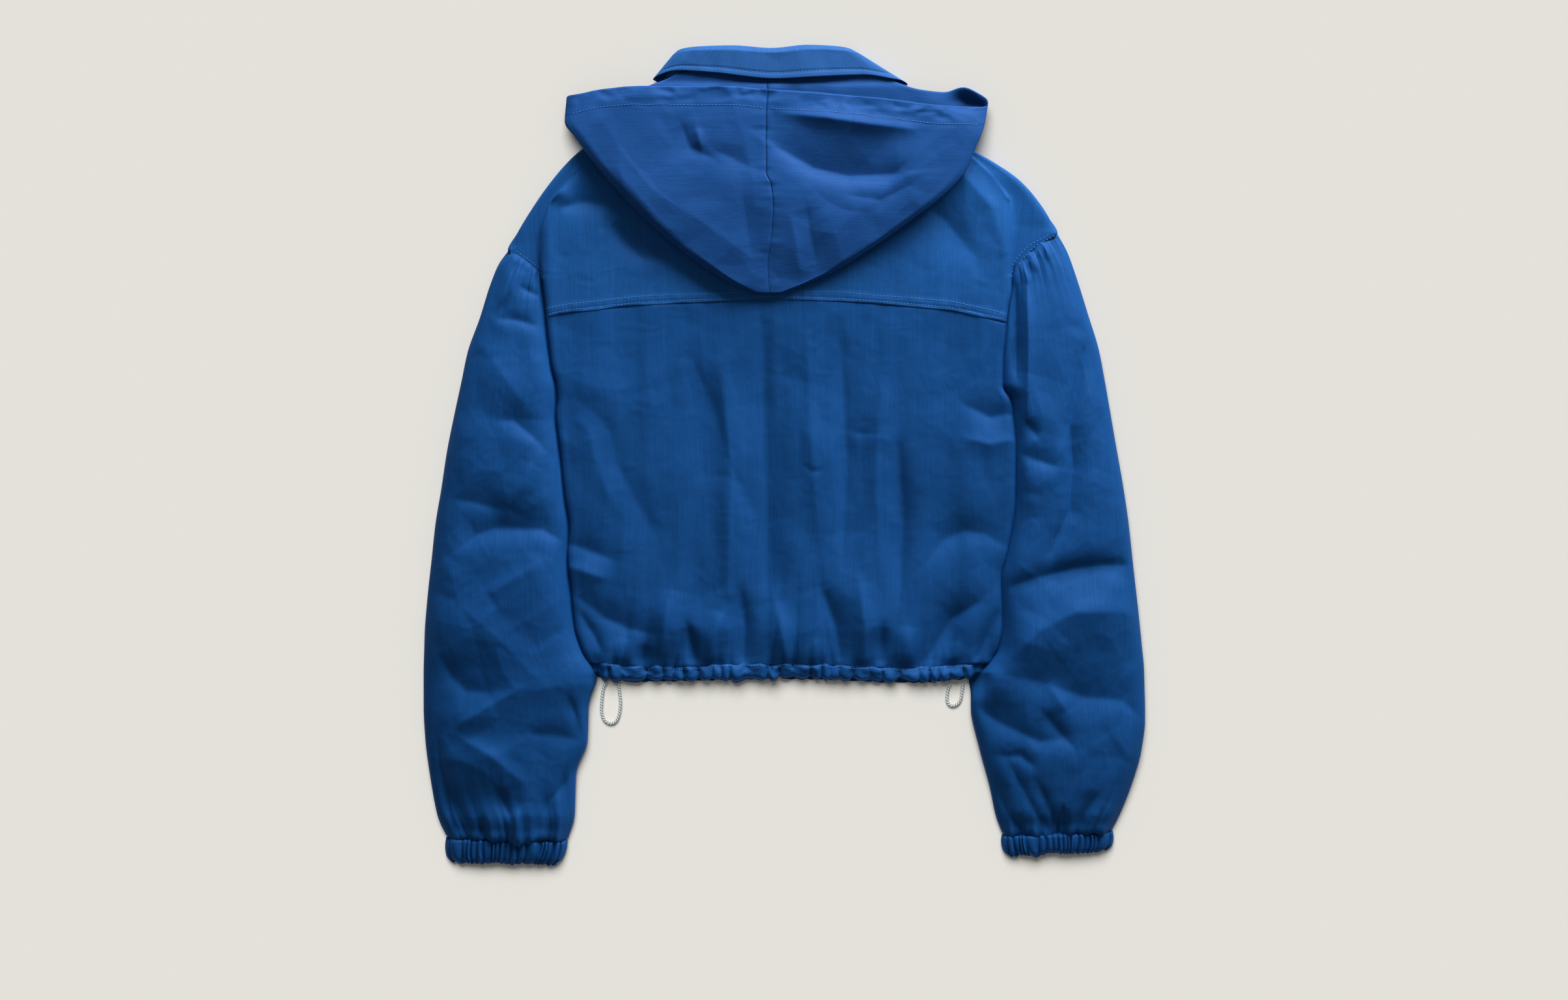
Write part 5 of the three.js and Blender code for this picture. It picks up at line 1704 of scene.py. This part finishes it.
    def build(self, finish: bpy.types.Material, thread: bpy.types.Material) -> list[bpy.types.Object]:
        """Both halves and the stitches of their casing.

        Args:
            finish: the cloth.
            thread: the stitches.

        Returns:
            The two halves and the stitches.
        """
        halves, lines = [], []
        for side in Side:
            grid = self.grid(side)
            name = f"hood_{side.word}"
            piece = cloth_wall(f"{name}_cloth", grid, turned=side is Side.RIGHT)
            halves.append(dress(piece, finish, "shell", name))
            lines.append(at_distance(grid[:, 2 : self.top_columns - 3], self.casing))
        rows = dress(stitch_rows("hood_stitches", lines, sink=-0.12), thread, "shell")
        return halves + [rows]


COLLAR = Table(
    "neckX neckY rollX rollY leafX leafY z faces slot",
    (
        (-5.5, 257, -5.5, 289, -5.5, 265, 2.8, 270, 0.4),
        (-40, 263, -38, 297, -42, 271, 2.8, 270, 0.4),
        (-70, 277, -62, 315, -74, 287, 2.8, 266, 0.4),
        (-92, 297, -80, 337, -98, 307, 3, 258, 0.5),
        (-100, 316, -90, 348.5, -110, 327.5, 3.05, 240, 0.6),
        (-105, 327.5, -93.5, 352, -112, 329.5, 5.4, 180, 0.8),
        (-102, 331, -90, 354, -108, 332.5, 7.2, 130, 1.4),
        (-92, 332.5, -78, 356, -93, 336.5, 7.8, 92, 2.4),
        (-60, 335.8, -48, 357, -62, 334.5, 7.8, 90, 2.8),
        (-5, 336.6, -12, 354.5, -10, 329, 7.8, 90, 4.2),
        (35, 335.8, 22, 357.5, 34, 331, 7.8, 90, 4),
        (70, 333, 48, 356.5, 70, 332.5, 7.8, 90, 2.8),
        (88, 328, 56, 355.5, 92, 329.5, 7.4, 88, 2.2),
        (95, 327, 61.5, 353, 102, 327.5, 6.8, 50, 1.2),
        (97, 323.5, 62.5, 350, 105, 324.5, 5, 0, 0.8),
        (92, 310, 60, 343, 102.5, 321.5, 2.95, 302, 0.6),
        (82, 292, 56, 330, 88, 299, 3, 280, 0.5),
        (58, 273, 44, 312, 62, 283, 2.8, 272, 0.4),
        (30, 262, 26, 297, 31, 271, 2.8, 270, 0.4),
        (-2.5, 257, -2.5, 289, -2.5, 265, 2.8, 270, 0.4),
    ),
)
COLLAR_PROFILE = (  # way, walls, slots, roll
    (0, 0, 0, 0), (0.5, 0, 0, 0), (0.93, 0, 0, 0), (1, 1, 0.5, 1), (1.1, 2, 1, 0),
    (1.5, 2, 1, 0), (2, 2, 1, 0), (2, 1, 1, 0), (1.5, 1, 1, 0), (1.18, 1, 1, 0),
    (0.8, 1, 0, 0), (0.4, 1, 0, 0), (0, 1, 0, 0),
)


@dataclass
class Collar:
    """The collar: a band folded over itself, round the neck from one end of the zip to the other."""

    stations: int = 260
    wall: float = 1.2
    leaf: float = 27.0  # depth of the part that is turned down
    stitched_at: float = 5.6  # from the leaf's edge
    points_to_next: tuple[int, ...] = (6, 6, 4, 5, 9, 12, 3, 8, 5, 7, 6, 6, 3)  # by profile row

    def along(self) -> dict[str, Array]:
        """Every column of the table at every station."""
        return COLLAR.at_rows(np.linspace(0, len(COLLAR.rows) - 1, self.stations))

    def profile(self) -> Array:
        """The band's cross-section, finer than the table: (way, walls, slots, roll) rows."""
        rows = np.array(COLLAR_PROFILE, float)
        closed = np.concatenate([rows, rows[:1]])
        shares = [(np.arange(n) / n)[:, None] for n in self.points_to_next]
        return np.concatenate([mix(a, b, t) for a, b, t in zip(closed, closed[1:], shares)])

    def grid(self) -> Array:
        """Points of the band, shape (stations, around, 3).

        Each lies between the neck's, the roll's and the leaf's line, moved out by the walls and
        slots under it. The leaf has facets, and its row of stitches pulls a groove.
        """
        at = self.along()
        neck, roll, leaf = (
            points_of(at[f"{line}X"], at[f"{line}Y"], at["z"])[:, None]
            for line in ("neck", "roll", "leaf")
        )
        turn = np.radians(at["faces"])
        outward = points_of(np.cos(turn), 0.0, np.sin(turn))[:, None]
        up = roll - neck
        up = up / np.linalg.norm(up, axis=2, keepdims=True)
        rows = self.profile()
        way, walls, slots, bend = (rows[:, k][None, :, None] for k in range(4))
        stand = mix(neck, roll, np.minimum(way, 1))
        place = np.where(way <= 1, stand, mix(roll, leaf, np.maximum(way - 1, 0)))
        place = place + outward * (walls * self.wall + slots * at["slot"][:, None, None])
        place = place + up * bend * 2.0
        x, y = place[..., 0], place[..., 1]
        on_leaf = smooth((walls[..., 0] - 1.2) / 0.6) * smooth((way[..., 0] - 1.0) / 0.15)
        edge = (2 - way[..., 0]) * self.leaf
        ripple = 0.8 * facets(x, y, 30, 91.0) + 0.3 * soft_noise(x / 9, y / 20, 4.0)
        groove = 0.6 * bell(edge / 4.5) - 0.6 * bell((edge - self.stitched_at) / 0.9)
        back = smooth((np.sin(turn) - 0.7) / 0.2)[:, None]
        place[..., 2] += (ripple + groove) * on_leaf * back
        return place

    def build(self, finish: bpy.types.Material, thread: bpy.types.Material) -> list[bpy.types.Object]:
        """The band with capped ends, and the stitches along its leaf.

        Args:
            finish: the cloth.
            thread: the stitches.

        Returns:
            The band and the stitches.
        """
        grid = self.grid()
        piece = tube("collar_cloth", grid, uv_of(grid, True)[..., ::-1])
        dress(piece, finish, "shell", "collar")
        rows = self.profile()
        from_edge = (2 - rows[:, 0]) * self.leaf
        outside = rows[:, 1] >= 1.9
        stitched = np.argmin(np.where(outside, np.abs(from_edge - self.stitched_at), np.inf))
        back = np.flatnonzero(np.sin(np.radians(self.along()["faces"])) > 0.85)
        thread_row = dress(stitch_rows("collar_stitches", [grid[back, stitched]]), thread, "shell")
        return [piece, thread_row]


CORD_ROUTE = {
    Side.LEFT: (
        (-155, -198), (-159, -205), (-160.5, -217), (-160.5, -226), (-158, -233), (-153, -236),
        (-148, -234), (-145, -227), (-144, -217), (-145, -207), (-146, -198),
    ),
    Side.RIGHT: (
        (146, -200.6), (144, -205.5), (143, -211), (143, -216), (145, -219.5), (148.5, -220.5),
        (152.5, -218.5), (155, -214), (156, -208), (157, -200.8),
    ),
}
CORD_DIAMETER = 2.7


@dataclass
class CordLoop:
    """A loop of elastic cord out of the hem and back in, lying on the surface."""

    side: Side
    around: int = 16
    step: float = 0.4
    relief: float = 0.05  # of the braid, as a share of the radius
    yarns: int = 4  # that run each way round
    twist: float = 5.2  # radians to a mm

    def route(self) -> Array:
        """The centreline: a Catmull-Rom curve through the route's points, even steps, mm."""
        flat = np.array(CORD_ROUTE[self.side], float)
        points = np.concatenate([flat, np.full((len(flat), 1), CORD_DIAMETER / 2 + 0.05)], axis=1)
        padded = np.concatenate([2 * points[:1] - points[1:2], points, 2 * points[-1:] - points[-2:-1]])
        t = np.linspace(0, 1, 24, endpoint=False)[None, :, None]
        curve = curve_through(*(padded[s : len(padded) - 3 + s][:, None] for s in range(4)), t)
        return resampled(np.concatenate([curve.reshape(-1, 3), points[-1:]]), self.step)

    def build(self, finish: bpy.types.Material) -> bpy.types.Object:
        """The cord: a circle carried along the route, with the low relief of the braid.

        Args:
            finish: the braid.

        Returns:
            The cord.
        """
        line = self.route()
        ahead = np.gradient(line, axis=0)
        ahead /= np.linalg.norm(ahead, axis=1, keepdims=True)
        beside = points_of(-ahead[:, 1], ahead[:, 0], 0.0)
        beside /= np.linalg.norm(beside, axis=1, keepdims=True)
        far = run_of(line)
        turn = 2 * math.pi * np.arange(self.around)[None] / self.around
        one_way, other_way = (
            np.sin(self.yarns * turn + way * self.twist * far[:, None]) for way in (1, -1)
        )
        radius = CORD_DIAMETER / 2 * (0.98 + self.relief * one_way * other_way)
        out, up = (radius * np.cos(turn))[..., None], (radius * np.sin(turn))[..., None]
        grid = line[:, None] + out * beside[:, None] + up * np.array([0.0, 0.0, 1.0])
        name = f"cord_{self.side.word}"
        piece = tube(f"{name}_braid", grid, uv_of(grid, True))
        dress(piece, finish, "cord", name)
        LOG.info("%s is %.1f mm long", name, far[-1])
        return piece


@dataclass
class Zip:
    """The centre-front zip: two woven tapes on the fronts' inner faces and a row of teeth between."""

    bottom: float = -194.0
    top: float = 255.0
    tape: float = 12.0
    pitch: float = 2.2

    def build(self, finish: bpy.types.Material) -> bpy.types.Object:
        """Both tapes as one strip, and a moulded tooth at every pitch, its two halves interlocked.

        Args:
            finish: the teeth.

        Returns:
            The zip.
        """
        low, high = FRONT_TOP + 0.32, FRONT_TOP + 0.95
        box = np.array([[x, y, z] for z in (0, 1) for y in (0, 1) for x in (0, 1)], float)
        sides = np.array([
            [0, 2, 3, 1], [4, 5, 7, 6], [0, 1, 5, 4], [2, 6, 7, 3], [0, 4, 6, 2], [1, 3, 7, 5],
        ])
        lows = [[ZIP_X - self.tape, self.bottom, low]]
        highs = [[ZIP_X + self.tape, self.top, high]]
        for k in range(int((self.top - self.bottom - 4) / self.pitch)):
            y = self.bottom + 2 + k * self.pitch
            s = -1 if k % 2 else 1
            lows.append([ZIP_X + min(-0.7 * s, 2.4 * s), y, 0.3])
            highs.append([ZIP_X + max(-0.7 * s, 2.4 * s), y + 1.5, low])
        lows, highs = np.array(lows)[:, None], np.array(highs)[:, None]
        points = mix(lows, highs, box[None])
        faces = sides[None] + np.arange(len(points))[:, None, None] * 8
        piece = make_mesh("zip_teeth", points.reshape(-1, 3), faces.reshape(-1, 4))
        piece.data.shade_flat()
        return dress(piece, finish, "zip", "zip")


@dataclass
class Studio:
    """Camera, floor and soft light from the collar's side."""

    frame_width: float = 1.3726  # m seen across the picture at the garment
    distance: float = 3.0
    centre: tuple[float, float] = (-0.0003, -0.0396)
    garment_height: float = 0.012
    sky: float = 0.18
    softbox_watts: float = 109.0
    softbox_size: tuple[float, float] = (2.0, 1.0)
    softbox_at: tuple[float, float, float] = (0.64, 1.85, 0.66)
    floor_strength: float = 2.75
    floor_light_at: tuple[float, float, float] = (-0.3, 2.4, 3.0)
    floor_reach: float = 6000.0  # mm

    def camera(self) -> None:
        """A camera straight above, level with the photograph's frame."""
        data = bpy.data.cameras.new("camera")
        data.sensor_width = 36.0
        data.lens = 36.0 * self.distance / self.frame_width
        camera = bpy.data.objects.new("camera", data)
        camera.location = (*self.centre, self.distance + self.garment_height)
        bpy.context.scene.collection.objects.link(camera)
        bpy.context.scene.camera = camera

    def floor(self, finish: bpy.types.Material) -> bpy.types.Object:
        """A wide pale surface just under the garment."""
        corners = np.array([[-1, -1, 0], [1, -1, 0], [1, 1, 0], [-1, 1, 0]]) * self.floor_reach
        piece = make_mesh("floor", corners - [0, 0, 0.4], np.array([[0, 1, 2, 3]]))
        piece.data.materials.append(finish)
        return piece

    def light(self, data: bpy.types.Light, place: tuple, receivers: list[bpy.types.Object]) -> None:
        """Stand a light at a place, looking at the middle of the garment, and link what it lights.

        Args:
            data: the light, with its size and power.
            place: where it stands, m.
            receivers: the pieces that it lights.
        """
        lamp = bpy.data.objects.new(data.name, data)
        lamp.location = place
        x, y, z = place
        lamp.rotation_euler = (math.atan2(math.hypot(x, y), z), 0.0, math.atan2(x, -y))
        bpy.context.scene.collection.objects.link(lamp)
        lit = bpy.data.collections.new(f"lit_by_{data.name}")
        for piece in receivers:
            lit.objects.link(piece)
        lamp.light_linking.receiver_collection = lit

    def build(self, cloth: list[bpy.types.Object], cords: list[bpy.types.Object]) -> None:
        """Sky and floor, a long low softbox for the cloth and an even light for the floor.

        The softbox stands beyond the collar, so that its light falls off towards the cuffs and
        rakes over the folds. The floor, and the cords on it, have their own light from higher up.

        Args:
            cloth: every piece that the softbox lights.
            cords: the pieces that the floor's light reaches too.
        """
        world = bpy.data.worlds.new("sky")
        bpy.context.scene.world = world
        world.use_nodes = True
        sky = world.node_tree.nodes["Background"]
        sky.inputs["Color"].default_value = linear(0xFFFDF8)
        sky.inputs["Strength"].default_value = self.sky
        softbox = bpy.data.lights.new("softbox", "AREA")
        softbox.shape = "RECTANGLE"
        softbox.size, softbox.size_y = self.softbox_size
        softbox.energy = self.softbox_watts
        self.light(softbox, self.softbox_at, cloth)
        even = bpy.data.lights.new("floor_light", "SUN")
        even.energy, even.angle = self.floor_strength, math.radians(40)
        paper = self.floor(PaperFinish("background_paper", 0xF3F1EA).build())
        self.light(even, self.floor_light_at, [paper, *cords])
        view = bpy.context.scene.view_settings
        view.view_transform = "Standard"
        view.look = "None"


def main() -> None:
    """Build the studio, the cords and then every piece of cloth."""
    logging.basicConfig(level=logging.INFO, format="%(name)s %(message)s")
    studio = Studio()
    studio.camera()
    braid = ElasticBraidFinish("elastic_braid", 0xD2DCDC, 0x465862).build()
    cords = [CordLoop(side).build(braid) for side in Side]
    shell = PoplinFinish("dyed_poplin", 0x0B3F77, 0x135092, Grain.ALONG).build()
    # the yoke's copy of the cloth is paler than the shell's: painted light, for the light that the yoke
    # catches
    yoke_cloth = PoplinFinish("dyed_poplin_yoke_painted_lighter", 0x114682, 0x1A5AA0, Grain.ALONG).build()
    across = PoplinFinish("dyed_poplin_cross_grain", 0x103C76, 0x1A4E8F, Grain.ACROSS).build()
    # the collar's copy of the cloth is paler still: painted light, for the light that the collar catches
    # where it rolls towards the softbox
    collar_cloth = PoplinFinish("dyed_poplin_collar_painted_lighter", 0x1C4A84, 0x285D9F, Grain.ALONG).build()
    thread = ThreadFinish("spun_polyester_thread", 0x3A74B8).build()
    body = Body()
    body.build(shell, yoke_cloth, thread)
    for side in Side:
        Front(side).build(shell)
        Sleeve(side).build(shell)
        Cuff(side).build(shell)
    HemCasing(body).build(shell, thread)
    Hood(body).build(across, thread)
    Collar().build(collar_cloth, thread)
    Zip().build(AcetalTeethFinish("moulded_acetal", 0x1C3F6E).build())
    pieces = [piece for piece in bpy.context.scene.objects if piece.type == "MESH"]
    studio.build([piece for piece in pieces if piece not in cords], cords)


if __name__ == "__main__":
    main()
